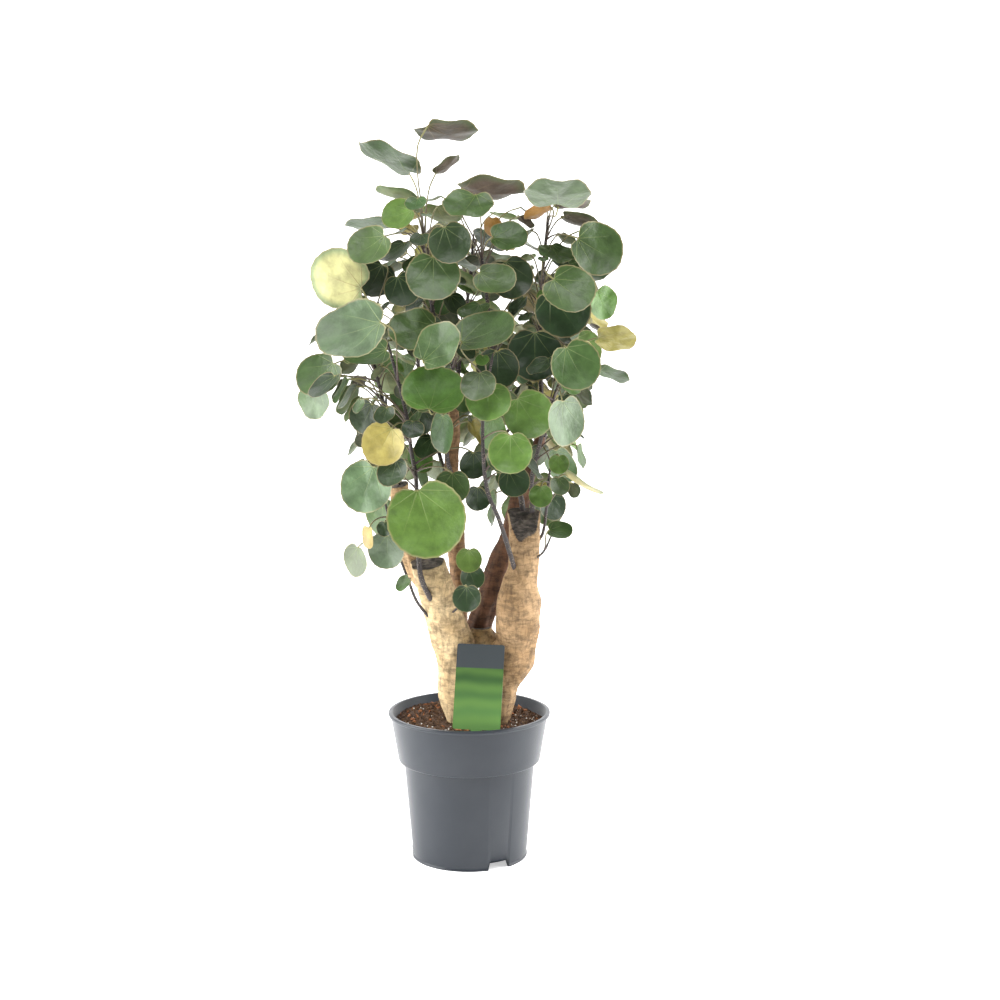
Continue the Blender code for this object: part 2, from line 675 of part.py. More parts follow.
def pot(folder, cutters):
    raised = FLOOR_RISE + FLOOR
    rim = RIM_RADIUS
    profile = (
        (0, FLOOR), (SEAT_RADIUS - 3, FLOOR), (SEAT_RADIUS + 2, raised), (inner_wall(raised), raised),
        (inner_wall(COLLAR_FOOT - 1), COLLAR_FOOT - 1), (inner_wall(COLLAR_FOOT + 1.5), COLLAR_FOOT + 1.5),
        (inner_wall(POT_HEIGHT), POT_HEIGHT), (rim - 1, POT_HEIGHT), (rim, POT_HEIGHT - 1), (rim, POT_HEIGHT - 3),
        (rim - 3, POT_HEIGHT - 5), (COLLAR_RADIUS, COLLAR_FOOT), (COLLAR_RADIUS - 0.6, COLLAR_FOOT - 1.4),
        (BODY_RADIUS, COLLAR_FOOT - 2.6), (FOOT_RADIUS - 0.8, 3), (FOOT_RADIUS, 2), (FOOT_RADIUS, 0),
        (FOOT_RADIUS - 4, 0), (FOOT_RADIUS - 6, FLOOR_RISE), (SEAT_RADIUS + 4, FLOOR_RISE), (SEAT_RADIUS, 0), (0, 0),
    )
    made = turned("pot", profile, folder)
    for bearing in NOTCH_BEARINGS:
        turn = math.radians(bearing)
        mesh = bmesh.new()
        place = Matrix.Rotation(turn, 4, "Z") @ Matrix.Translation((0, -FOOT_RADIUS * MM, -2 * MM))
        size = Matrix.Diagonal((NOTCH_WIDTH * MM, 24 * MM, 2 * (FLOOR_RISE + 1.5) * MM, 1))
        bmesh.ops.create_cube(mesh, size=1, matrix=place @ size)
        cutter = mesh_object(f"notch_{bearing:.0f}", mesh, cutters)
        cutter.hide_render = True
        cutter.display_type = "WIRE"
        boolean(made, "DIFFERENCE", cutter)
    made.data.materials.append(material("slate plastic", "4c5054", 0.6))
    return made


def soil(folder, slot):
    raised = FLOOR_RISE + FLOOR + GAP
    profile = (
        (0, SOIL_TOP), (62, SOIL_TOP), (84, SOIL_TOP - 1.5), (inner_wall(SOIL_EDGE, GAP), SOIL_EDGE),
        (inner_wall(COLLAR_FOOT + 1.8, GAP), COLLAR_FOOT + 1.8), (inner_wall(COLLAR_FOOT - 1, GAP), COLLAR_FOOT - 1),
        (inner_wall(raised, GAP), raised), (SEAT_RADIUS + 1.7, raised), (SEAT_RADIUS - 3.3, FLOOR + GAP), (0, FLOOR + GAP),
    )
    made = turned("soil", profile, folder)
    boolean(made, "DIFFERENCE", slot)
    made.data.materials.append(material("peat soil", "4a382b", 0.95))


def tag_outline(grow):
    """The tag's outline from its stake's foot, with round corners, as x and y."""
    stake, depth = TAG_STAKE
    half, corner = TAG_WIDTH / 2 + grow, TAG_CORNER
    points = [(-stake / 2 - grow, -depth - grow), (stake / 2 + grow, -depth - grow), (stake / 2 + grow, 0)]
    corners = ((half, 0, -90), (half, TAG_HEIGHT + grow, 0), (-half, TAG_HEIGHT + grow, 90), (-half, 0, 180))
    for x, y, start in corners:
        middle = (x - math.copysign(corner, x), y + corner if y == 0 else y - corner)
        for k in range(4):
            angle = math.radians(start + 30 * k)
            points.append((middle[0] + corner * math.cos(angle), middle[1] + corner * math.sin(angle)))
    return points + [(-stake / 2 - grow, 0)]


def tag_blank(name, folder, grow=0.0):
    """The stick-in tag as a flat outline, leaning back in the front of the soil."""
    curve = bpy.data.curves.new(name, "CURVE")
    curve.dimensions = "2D"
    curve.fill_mode = "BOTH"
    curve.extrude = (TAG_THICK / 2 + grow) * MM
    outline = tag_outline(grow)
    spline = curve.splines.new("POLY")
    spline.points.add(len(outline) - 1)
    for point, (x, y) in zip(spline.points, outline):
        point.co = (x * MM, y * MM, 0, 1)
    spline.use_cyclic_u = True
    made = link(name, curve, folder)
    made.matrix_world = (
        Matrix.Translation(Vector(TAG_FOOT) * MM)
        @ Matrix.Rotation(math.radians(-TAG_YAW), 4, "Z")
        @ Matrix.Rotation(math.radians(90 - TAG_LEAN), 4, "X")
    )
    return made


def placed_mesh(curve_object):
    """The curve object as a mesh object whose vertices hold its place."""
    bpy.context.view_layer.update()
    place = curve_object.matrix_world.copy()
    made = to_meshes([curve_object])[0]
    made.data.transform(place)
    return made


# Limbs

def limb_rows(name):
    return smooth(LIMBS[name], 2)


def bark():
    return bpy.data.materials.get("bark") or material("bark", "b39a7c", 0.85)


def limbs(folder, cutters, scratch):
    """The trunk up to the fork, the stumps and the boughs, and for each limb a copy 0.3 mm larger all round,
    which later cuts the feet of what grows from it."""
    collars = {}
    feet = []
    above = half_space("above_fork", (0, 0, FORK_HEIGHT), (0, 0, 1), cutters)
    below = half_space("below_fork", (0, 0, FORK_HEIGHT + GAP), (0, 0, -1), cutters)
    ground = half_space("below_ground", (0, 0, SOIL_TOP + GAP), (0, 0, -1), cutters)
    for name in LIMBS:
        rows, sides = limb_rows(name), LIMB_SIDES[name]
        collars[name], = to_meshes([tube(f"{name}_collar", rows, cutters, sides, GAP)])
        made, = to_meshes([tube(name, rows, folder, sides)])
        if name == "left_bough":
            boolean(made, "DIFFERENCE", collars["left_stump"])
        else:
            feet += to_meshes([tube(f"{name}_foot", rows, scratch, sides)])
            boolean(made, "DIFFERENCE", below)
        cuts = [cut for cut in SAW_CUTS if cut[0] == name]
        for k, (_, point, normal) in enumerate(cuts):
            saw = half_space(f"{name}_saw_{k}", point, normal, cutters, 120)
            boolean(made, "DIFFERENCE", saw)
            boolean(collars[name], "DIFFERENCE", half_space(f"{name}_saw_collar_{k}",
                    np.add(point, GAP * unit(normal)), normal, cutters, 120))
        apply_modifiers(made)
        apply_modifiers(collars[name])
        collars[name].hide_render = True
        collars[name].display_type = "WIRE"
        drop_scraps(made)
        made.data.materials.append(bark())
    trunk, = to_meshes([tube("trunk", smooth(BURL, 2), folder, 4)])
    boolean(trunk, "UNION", scratch)
    boolean(trunk, "DIFFERENCE", above)
    boolean(trunk, "DIFFERENCE", ground)
    apply_modifiers(trunk)
    trunk.data.materials.append(bark())
    for foot in feet:
        bpy.data.objects.remove(foot)
    return collars


# Sprays

def blade(name, leaf, folder):
    """A flattened sphere of two rows of faces, reshaped to the leaf's outline and cup."""
    mesh = bmesh.new()
    bmesh.ops.create_uvsphere(mesh, u_segments=len(RIM_BEARINGS), v_segments=2, radius=1)
    ring = [vert for vert in mesh.verts if abs(vert.co.z) < 0.5]
    ring.sort(key=lambda vert: math.atan2(vert.co.y, vert.co.x) % (2 * math.pi))
    thick = max(1.6, 0.034 * leaf.width)
    for vert in mesh.verts:
        if abs(vert.co.z) > 0.5:
            vert.co = Vector(leaf.middle + math.copysign(thick / 2, vert.co.z) * leaf.face) * MM
    for vert, bearing in zip(ring, RIM_BEARINGS):
        vert.co = Vector(blade_point(leaf, math.radians(bearing), 1)) * MM
    return mesh_object(name, mesh, folder)


def stalk_rows(leaf):
    radii = PETIOLE_RADIUS * np.array((1.5, 1.1, 0.4))
    return np.column_stack([leaf.stalk[[0, 3, 5]], radii])


def spray_solid(name, stem, leaves, folder, collar, profile):
    """One stem with its stalks and blades, fused, and its foot cut 0.3 mm clear of the limb."""
    pieces = collection(f"{name}_pieces")
    curves = [tube(f"{name}_stalk_{k}", stalk_rows(leaf), pieces, profile=profile) for k, leaf in enumerate(leaves)]
    to_meshes(curves)
    for k, leaf in enumerate(leaves):
        blade(f"{name}_blade_{k}", leaf, pieces)
    made, = to_meshes([tube(name, stem[::2] if len(stem) % 2 else stem, folder, 1)])
    boolean(made, "UNION", pieces)
    boolean(made, "DIFFERENCE", collar)
    apply_modifiers(made)
    for piece in list(pieces.objects):
        bpy.data.objects.remove(piece)
    bpy.data.collections.remove(pieces)
    drop_scraps(made)
    made.data.materials.append(bpy.data.materials.get("leaf") or material("leaf", "4f6b3c", 0.5))


def main():
    clear_scene()
    parts = collection("fabian_aralia")
    cutters = collection("cutters")
    scratch = collection("scratch")
    slot = placed_mesh(tag_blank("tag_slot", cutters, GAP))
    slot.hide_render = True
    slot.display_type = "WIRE"
    pot(parts, cutters)
    soil(parts, slot)
    tag = placed_mesh(tag_blank("tag", parts))
    tag.data.materials.append(material("card", "7d9468", 0.5))
    collars = limbs(parts, cutters, scratch)
    profile = triangle_profile(cutters)
    for name, (stem, leaves) in grown_sprays().items():
        spray = next(spray for spray in SPRAYS if spray.name == name)
        spray_solid(name, stem, leaves, parts, collars[spray.limb], profile)


main()
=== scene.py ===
# %% [markdown]
# A round-leaved aralia grown from sawn stumps, in a grey nursery pot. The frame holds the plain solids, and
# this script gives each of them its real surface: bark, stems, leaves, peat, plastic and card. Lengths are
# worked out in millimetres, because a leaf's stalk is about two thick, and become metres in one place.

# %% Frame
import math
from collections import namedtuple

import bmesh
import bpy
import numpy as np
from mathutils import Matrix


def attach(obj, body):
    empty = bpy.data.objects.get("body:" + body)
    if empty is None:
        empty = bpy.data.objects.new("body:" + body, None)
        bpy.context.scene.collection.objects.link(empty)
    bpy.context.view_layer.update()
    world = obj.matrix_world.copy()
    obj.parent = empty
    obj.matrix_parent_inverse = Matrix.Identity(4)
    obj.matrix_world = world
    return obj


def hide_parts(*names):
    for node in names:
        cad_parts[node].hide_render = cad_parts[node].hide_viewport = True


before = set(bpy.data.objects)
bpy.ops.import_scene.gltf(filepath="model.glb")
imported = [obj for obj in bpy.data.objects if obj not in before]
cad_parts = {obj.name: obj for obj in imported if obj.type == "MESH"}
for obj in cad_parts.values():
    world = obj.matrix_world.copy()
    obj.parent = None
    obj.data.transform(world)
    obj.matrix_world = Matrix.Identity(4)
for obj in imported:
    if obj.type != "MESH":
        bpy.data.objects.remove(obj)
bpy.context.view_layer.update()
MM = 0.001
BODY = "root"

# %% [markdown]
# The plant's own sizes come first. The limbs are rows of points with a radius. Each spray is a stem with the
# leaves that are seen on it, and then as many more as the rule can fit in. The solids are grown from the same
# values, so every large leaf stands exactly where its solid stands.

# %% Sizes of the plant
POT_HEIGHT = 192.0
RIM_RADIUS = 105.0
COLLAR_FOOT = 130.0
COLLAR_RADIUS = 92.5
BODY_RADIUS = 85.0
FOOT_RADIUS = 75.5
WALL = 2.0
FLOOR_RISE = 9.0
FLOOR = 2.5
SEAT_RADIUS = 46.0
NOTCH_WIDTH = 30.0
NOTCH_BEARINGS = (32.0, 152.0, 272.0)

SOIL_TOP = 182.0
SOIL_EDGE = 178.0

TAG_WIDTH = 61.0
TAG_HEIGHT = 108.0
TAG_THICK = 1.0
TAG_STAKE = (14.0, 22.0)
TAG_FOOT = (10.0, -80.0, 188.0)
TAG_LEAN = 19.0
TAG_YAW = 10.0
TAG_CORNER = 3.0

# Where the plant's measured view was taken from: leaves slide along lines to this point.
EYE = np.array((40.0, -2300.0, 800.0))

# Rows are x, y, z and radius along the limb's middle, from its foot to its tip.
LIMBS = {
    "left_stump": (
        (-3, -10, 170, 22), (-11, -11, 208, 25), (-15, -11, 250, 25), (-20, -12, 284, 26),
        (-30, -14, 313, 25), (-39, -16, 343, 24), (-47, -18, 371, 23), (-57, -21, 400, 20),
    ),
    "right_stump": (
        (28, -11, 170, 20), (37, -12, 207, 22), (43, -13, 236, 23), (55, -15, 266, 28),
        (61, -16, 286, 25), (63, -18, 309, 28), (64, -20, 340, 28), (65, -20, 362, 24),
        (70, -20, 385, 20), (71, -18, 425, 20), (70, -16, 470, 21),
    ),
    "back_stump": (
        (11, 24, 168, 20), (11, 24, 214, 20), (12, 23, 267, 17), (13, 23, 301, 16),
        (25, 22, 334, 16), (33, 22, 360, 16), (42, 24, 386, 16), (53, 25, 412, 15),
        (62, 27, 447, 14), (66, 29, 468, 13), (77, 30, 498, 9), (88, 32, 529, 7.5), (92, 34, 548, 6.5),
    ),
    "middle_bough": (
        (-16, 44, 170, 18), (-16, 44, 225, 16), (-16, 44, 271, 14), (-15, 45, 320, 12),
        (-14, 45, 363, 12), (-19, 46, 429, 11), (-23, 46, 501, 9.5), (-20, 44, 560, 8), (-25, 40, 613, 6.5),
    ),
    "left_bough": (
        (-40, -10, 345, 10), (-62, -1, 368, 12), (-76, 4, 395, 12), (-85, 8, 441, 12), (-92, 12, 505, 13),
    ),
}
BURL = ((14, 8, 170, 30), (14, 8, 215, 36), (15, 7, 250, 36), (16, 8, 276, 30), (16, 8, 300, 12))

# Rows are height, and the crown's left and right edge there, which no leaf of the rule passes.
CROWN = (
    (340, -70, 70), (390, -125, 105), (480, -160, 145), (560, -168, 150), (630, -212, 180),
    (700, -195, 185), (790, -150, 160), (860, -115, 148), (940, -60, 60),
)

# Saw cuts across the limbs: the limb, a point of the cut and the direction that the cut faces.
SAW_CUTS = (
    ("left_stump", (-55, -20, 391), (-0.1, -0.3, 1.0)),
    ("right_stump", (70, -16, 456), (0.05, -0.12, 1.0)),
    ("right_stump", (70, -37, 424), (0.0, -0.9, 0.43)),
    ("left_bough", (-91, 12, 487), (-0.2, -0.2, 1.0)),
)

PETIOLE_RADIUS = 1.2
STALK_AT = 0.38
BLADE_CUP = 0.07
NOTCH_DEPTH = 0.24
NOTCH_SPREAD = 0.30
GOLDEN_ANGLE = math.radians(137.5)

# A mark is one leaf read from the plant: its middle seen on the axis plane, how far behind that plane it is,
# its width, the directions of its upper side and its tip, and its tint.
Mark = namedtuple("Mark", "x z depth width face tip tint", defaults=("green",))
Spray = namedtuple("Spray", "name limb route radius leaves widths space seed marks")

SPRAYS = (
    Spray(
        "top_spray", "middle_bough",
        ((-24, 41, 598), (-28, 36, 640), (-42, 26, 684), (-50, 18, 748), (-56, 10, 798)), (4.5, 2.2),
        12, (38, 62), ((-75, 30, 770), (85, 70, 120)), 11,
        (
            Mark(-27, 928, 5, 82, (0, 1, 3.5), (2, 2, 0), "bronze"),
            Mark(-100, 893, 10, 88, (4, -3, 8), (-8, 3, 5)),
            Mark(-26, 888, 20, 42, (-2, 1, 3), (3, 0, 2), "bronze"),
            Mark(-88, 850, 25, 60, (1, 1, 4), (-4, 0, 1)),
            Mark(-86, 829, -5, 46, (-1, -3, 2), (-3, -1, 0), "bright"),
            Mark(-122, 813, 0, 66, (0, -1, 4), (-4, 0, 0)),
            Mark(-123, 790, -25, 58, (-1, -3, 2), (-3, 0, -2)),
            Mark(-44, 752, -55, 68, (0, -4, 2), (0, 0, -1)),
            Mark(-23, 794, -30, 54, (0, -4, 1), (1, 0, -3), "dark"),
            Mark(-83, 736, -10, 46, (0, -3, 1), (1, 0, -3), "dark"),
        ),
    ),
    Spray(
        "crown_spray", "right_stump",
        ((70, -6, 440), (66, -4, 475), (50, 0, 507), (40, 4, 571), (32, 6, 634), (25, 6, 710), (17, 4, 775)),
        (4.5, 2.0),
        10, (38, 60), ((30, 20, 740), (70, 70, 120)), 12,
        (
            Mark(26, 855, 5, 92, (0, 1, 3.5), (4, 0, -0.5), "bronze"),
            Mark(0, 840, -15, 64, (0, -2, 3), (-1, -3, 0)),
            Mark(50, 800, -25, 50, (0, -2, 2), (3, 0, 0)),
            Mark(54, 751, -30, 56, (0, -4, 1), (1, 0, -3), "dark"),
            Mark(33, 748, -60, 54, (0, -3, 3), (3, -1, -1)),
            Mark(30, 815, 0, 26, (1, -2, 0), (0, 0, -1), "amber"),
        ),
    ),
    Spray(
        "right_top_spray", "back_stump",
        ((90, 33, 536), (92, 33, 562), (93, 26, 595), (91, 20, 659), (92, 12, 735), (100, 8, 820)),
        (4.5, 2.2),
        12, (38, 62), ((125, 30, 760), (80, 75, 110)), 13,
        (
            Mark(112, 850, -5, 84, (0, -1, 2), (0, 2, 1), "pale"),
            Mark(129, 841, 18, 50, (0, 1, 3), (3, 0, -1), "bronze"),
            Mark(90, 832, 0, 42, (-1, 1, 2), (-3, 0, 0), "amber"),
            Mark(138, 818, 8, 54, (1, 1, 3), (3, 0, -1.5), "bronze"),
            Mark(160, 786, -18, 70, (1, -3, 1), (2, 0, -1)),
            Mark(148, 762, -34, 70, (0, -2, 3), (3, -1, 0)),
            Mark(127, 734, -45, 66, (0, -3, 2), (2, 0, -2)),
            Mark(119, 710, -70, 70, (0, -4, 1), (2, 0, -3), "dark"),
            Mark(168, 720, -10, 44, (2, -3, 0), (2, 0, -3), "bright"),
        ),
    ),
    Spray(
        "right_spray", "right_stump",
        ((78, -14, 440), (81, -16, 462), (80, -24, 498), (91, -36, 550), (106, -44, 601), (129, -46, 660)),
        (4.0, 2.0),
        10, (36, 60), ((135, -25, 620), (75, 70, 100)), 14,
        (
            Mark(185, 672, -40, 54, (0, -2, 3), (3, 0, -1), "yellow"),
            Mark(135, 641, -85, 64, (1, -4, 1), (1, 0, -2)),
            Mark(148, 662, -55, 46, (2, -3, 1), (2, 0, -2), "bright"),
            Mark(182, 627, -45, 46, (1, -1, 3), (3, 0, -2)),
            Mark(84, 655, -65, 70, (0, -4, 1), (0, 0, -1), "dark"),
            Mark(76, 578, -90, 62, (0, -4, 1), (2, 0, -3), "bright"),
            Mark(120, 571, -75, 64, (3, -3, 0), (1, 0, -4), "pale"),
        ),
    ),
    Spray(
        "front_right_spray", "right_stump",
        (
            (60, -28, 378), (54, -44, 402), (39, -54, 451), (24, -62, 490),
            (19, -70, 541), (20, -74, 597), (30, -70, 652),
        ),
        (4.0, 2.0),
        8, (34, 56), ((40, -75, 590), (70, 50, 110)), 15,
        (
            Mark(53, 530, -100, 54, (0, -4, 1), (0, 0, -1), "bright"),
            Mark(25, 594, -105, 56, (0, -3, 2), (0, -1, -2), "bright"),
            Mark(37, 638, -80, 54, (0, -4, 0), (0, 0, -1), "dark"),
            Mark(58, 492, -62, 40, (0, -3, 1), (1, 0, -2), "dark"),
            Mark(11, 472, -60, 34, (1, -3, 0), (0, 0, -1), "dark"),
            Mark(21, 680, -90, 80, (-1, -2, 3), (3, 0, 1.5)),
        ),
    ),
    Spray(
        "front_spray", "middle_bough",
        ((-22, 45, 480), (-24, 36, 500), (-28, 22, 520), (-29, -6, 565), (-23, -26, 612), (-15, -38, 669)),
        (4.0, 2.0),
        10, (34, 56), ((-20, -30, 630), (75, 60, 110)), 16,
        (
            Mark(-38, 664, -80, 66, (-2, -3, 2), (2, 0, 2)),
            Mark(-44, 606, -108, 80, (0, -2, 2), (0.5, 2, 2), "bright"),
            Mark(28, 556, -50, 46, (3, -3, 0), (0, 0, -1), "bright"),
            Mark(-30, 556, -62, 54, (-3, -2, 0), (0, 0, -1)),
            Mark(-67, 684, -45, 68, (0, -2, 2), (-2, 0, -1)),
        ),
    ),
    Spray(
        "left_front_spray", "left_stump",
        (
            (-42, -24, 336), (-50, -40, 352), (-59, -50, 376), (-62, -50, 400), (-64, -48, 450),
            (-65, -48, 501), (-71, -46, 538), (-76, -44, 578), (-87, -42, 625), (-99, -42, 669),
        ),
        (4.5, 2.2),
        8, (36, 56), ((-100, -55, 560), (75, 55, 140)), 17,
        (
            Mark(-54, 444, -95, 98, (0, -5, 1), (0.3, 0, -1), "bright"),
            Mark(-108, 541, -90, 56, (-1, -4, 1), (-1, 0, -2), "yellow"),
            Mark(-130, 486, -65, 68, (-1, -4, 1), (-1, 0, -3), "pale"),
            Mark(-21, 486, -75, 44, (0, -4, 1), (0, 0, -1)),
            Mark(6, 515, -75, 38, (1, -3, 0), (0, 0, -1), "dark"),
            Mark(-145, 683, -80, 92, (-1, -3, 3), (-4, 0, -1), "pale"),
        ),
    ),
    Spray(
        "left_spray", "left_bough",
        ((-89, 11, 466), (-92, 8, 500), (-99, 0, 546), (-108, -6, 595), (-119, -12, 646), (-122, -14, 690)),
        (4.0, 2.0),
        10, (36, 58), ((-145, -10, 630), (65, 60, 130)), 18,
        (
            Mark(-163, 748, -15, 80, (1, 4, 1), (-3, 0, 1), "pale"),
            Mark(-117, 750, -15, 52, (0, -3, 1), (-1, 0, -2), "dark"),
            Mark(-128, 655, -50, 62, (0, -2, 3), (-3, 0, -1)),
            Mark(-188, 627, -20, 62, (-1, -3, 2), (-2, 0, -2)),
            Mark(-194, 597, -12, 50, (-2, -3, 0), (-1, 0, -3), "pale"),
            Mark(-129, 576, -50, 46, (-1, -3, 0), (-1, 0, -2), "dark"),
        ),
    ),
    Spray(
        "low_left_spray", "left_stump",
        (
            (-34, -18, 308), (-50, -30, 322), (-66, -38, 345), (-76, -40, 372),
            (-86, -40, 400), (-96, -42, 436), (-104, -44, 469),
        ),
        (2.6, 1.6),
        3, (26, 44), ((-118, -40, 430), (50, 50, 80)), 19,
        (
            Mark(-105, 404, -62, 48, (-1, -4, 0), (0, 0, -1), "pale"),
            Mark(-144, 391, -45, 44, (-3, -3, 0), (-0.3, 0, -1), "pale"),
            Mark(-127, 421, -60, 30, (-3, -2, 0), (0, 0, -1), "yellow"),
            Mark(-110, 449, -45, 50, (-2, -3, 0), (0, 0, -1)),
            Mark(-84, 360, -48, 24, (-1, -1, 1), (-2, 0, -1.5)),
        ),
    ),
    Spray(
        "centre_shoot", "left_stump",
        ((-30, -20, 320), (-16, -40, 334), (-8, -46, 348), (-4, -46, 372), (0, -46, 408)), (2.0, 1.4),
        0, (20, 30), ((0, -50, 370), (40, 40, 60)), 20,
        (
            Mark(0, 391, -62, 33, (0, -4, 1), (0, 0, -1), "bright"),
            Mark(4, 368, -50, 32, (1, -4, 1), (1, 0, -3), "dark"),
            Mark(-3, 341, -64, 36, (0, -4, 1), (0, 0, -1), "dark"),
        ),
    ),
    Spray(
        "low_right_spray", "right_stump",
        ((80, -18, 408), (94, -20, 428), (99, -22, 462), (101, -27, 495), (104, -30, 520)), (2.6, 1.6),
        3, (26, 44), ((120, -20, 500), (50, 50, 60)), 21,
        (
            Mark(142, 488, -40, 62, (3, 1, 5), (5, 0, -3), "pale"),
            Mark(115, 515, -55, 26, (0, -4, 1), (0, 0, -1), "bright"),
            Mark(92, 474, -55, 30, (0, -4, 1), (0, 0, -1), "bright"),
        ),
    ),
    Spray(
        "stump_shoot", "right_stump",
        ((74, -24, 392), (88, -30, 400), (97, -32, 410), (104, -34, 426)), (2.4, 1.4),
        0, (20, 30), ((110, -30, 430), (30, 30, 30)), 22,
        (Mark(116, 428, -42, 34, (0, -2, 3), (3, 0, -0.5)),),
    ),
    Spray(
        "top_back_spray", "middle_bough",
        ((-22, 42, 575), (-16, 60, 612), (-10, 80, 670), (0, 96, 740), (5, 102, 800)), (4.0, 2.0),
        22, (42, 66), ((5, 110, 760), (100, 85, 120)), 23, (),
    ),
    Spray(
        "back_left_spray", "middle_bough",
        ((-20, 46, 455), (-32, 68, 492), (-48, 94, 545), (-64, 112, 610), (-76, 122, 680)), (4.0, 2.0),
        24, (42, 66), ((-95, 120, 650), (100, 95, 125)), 24, (),
    ),
    Spray(
        "back_centre_spray", "back_stump",
        ((62, 29, 452), (58, 54, 486), (46, 84, 540), (36, 104, 610), (30, 116, 680)), (4.0, 2.0),
        24, (42, 66), ((25, 140, 620), (100, 85, 125)), 25, (),
    ),
    Spray(
        "back_right_spray", "back_stump",
        ((76, 31, 492), (92, 52, 526), (108, 80, 580), (116, 98, 650), (120, 106, 720)), (4.0, 2.0),
        24, (42, 66), ((115, 115, 660), (90, 90, 125)), 26, (),
    ),
    Spray(
        "low_back_right_spray", "back_stump",
        ((44, 26, 388), (60, 48, 412), (76, 72, 452), (84, 92, 500), (88, 102, 540)), (3.4, 1.8),
        16, (38, 60), ((85, 90, 480), (75, 85, 85)), 27, (),
    ),
    Spray(
        "low_back_left_spray", "left_bough",
        ((-84, 8, 432), (-92, 34, 458), (-102, 60, 500), (-108, 76, 550), (-110, 84, 590)), (3.4, 1.8),
        16, (38, 60), ((-95, 85, 510), (75, 80, 100)), 28, (),
    ),
)

# %% [markdown]
# A crown could be grown leaf by leaf by hand, or scattered at random, but scattered leaves cut through each
# other. This rule covers each blade and stalk with balls, and keeps a leaf only where its balls touch no ball
# that is already placed. Leaves that are seen slide along the line of sight until they are clear, and the
# others follow the golden angle round their stem.

# %% Curves and leaves of the rule
def unit(vector):
    return np.asarray(vector, float) / np.linalg.norm(vector)


def smooth(points, per_span):
    """A Catmull-Rom curve through the rows of points, with per_span steps between each two."""
    points = np.asarray(points, float)
    ends = (2 * points[:1] - points[1:2], points, 2 * points[-1:] - points[-2:-1])
    rows = np.vstack(ends)
    t = np.arange(per_span)[:, None] / per_span
    spans = [
        0.5 * (2 * b + (c - a) * t + (2 * a - 5 * b + 4 * c - d) * t**2 + (3 * b - a - 3 * c + d) * t**3)
        for a, b, c, d in zip(rows, rows[1:], rows[2:], rows[3:])
    ]
    return np.vstack(spans + [points[-1:]])


def balls_along(points, radii, step):
    """Balls as rows of x, y, z and radius, at most step apart along a line."""
    lengths = np.linalg.norm(np.diff(points, axis=0), axis=1)
    at = np.concatenate([[0], np.cumsum(lengths)])
    want = np.linspace(0, at[-1], max(2, int(at[-1] / step) + 1))
    columns = [np.interp(want, at, points[:, k]) for k in range(3)]
    return np.column_stack(columns + [np.interp(want, at, radii)])


def blade_point(leaf, bearing, reach):
    """A point of the blade's middle surface: bearing 0 is the notch, and reach runs from 0 at the middle to 1
    at the rim. The rim is r = w/2 (1 - NOTCH_DEPTH exp(-(bearing / NOTCH_SPREAD)^2)), lifted by the cup."""
    turn = (bearing + math.pi) % (2 * math.pi) - math.pi
    rim = 0.5 * leaf.width * (1 - NOTCH_DEPTH * math.exp(-((turn / NOTCH_SPREAD) ** 2)))
    side = np.cross(leaf.tip, leaf.face)
    flat = reach * rim * (-leaf.tip * math.cos(bearing) - side * math.sin(bearing))
    lift = BLADE_CUP * leaf.width * (2 * reach * rim / leaf.width) ** 2
    return leaf.middle + flat + lift * leaf.face


Leaf = namedtuple("Leaf", "middle face tip width tint stalk")


def leaf_of(middle, face, tip, width, tint):
    """A leaf without its stalk. Its tip's direction is made square to its face."""
    face = unit(face)
    tip = np.asarray(tip, float)
    return Leaf(np.asarray(middle, float), face, unit(tip - face * (tip @ face)), width, tint, None)


def with_stalk(leaf, start):
    """The leaf with a stalk that leaves the stem at start, bends up and enters the blade along its midrib."""
    joint = blade_point(leaf, 0, 0.98)
    reach = np.linalg.norm(joint - start)
    run = unit(joint - start)
    first = start + 0.35 * reach * unit(run + np.array((0, 0, 0.5)))
    last = joint - 0.28 * reach * unit(leaf.tip + 0.8 * run)
    t = np.linspace(0, 1, 5)[:, None]
    curve = (1 - t) ** 3 * start + 3 * (1 - t) ** 2 * t * first + 3 * (1 - t) * t**2 * last + t**3 * joint
    return leaf._replace(stalk=np.vstack([curve, blade_point(leaf, 0.15, 0.45)]))


def leaf_balls(leaf):
    """Balls that cover the blade: its middle and four rings of 6, 12, 18 and 24."""
    points = [blade_point(leaf, 0, 0)]
    for ring in (1, 2, 3, 4):
        points += [blade_point(leaf, 2 * math.pi * k / (6 * ring), ring / 4) for k in range(6 * ring)]
    return np.column_stack([points, np.full(len(points), 0.065 * leaf.width + 0.6)])


def stalk_balls(leaf):
    return balls_along(leaf.stalk[:5], np.full(5, PETIOLE_RADIUS), 5.0)[1:-1]


# %% Space that is already taken
WOOD, STALK, BLADE = 0, 1, 2
BLADE_GAP = 0.5
STALK_GAP = 0.8


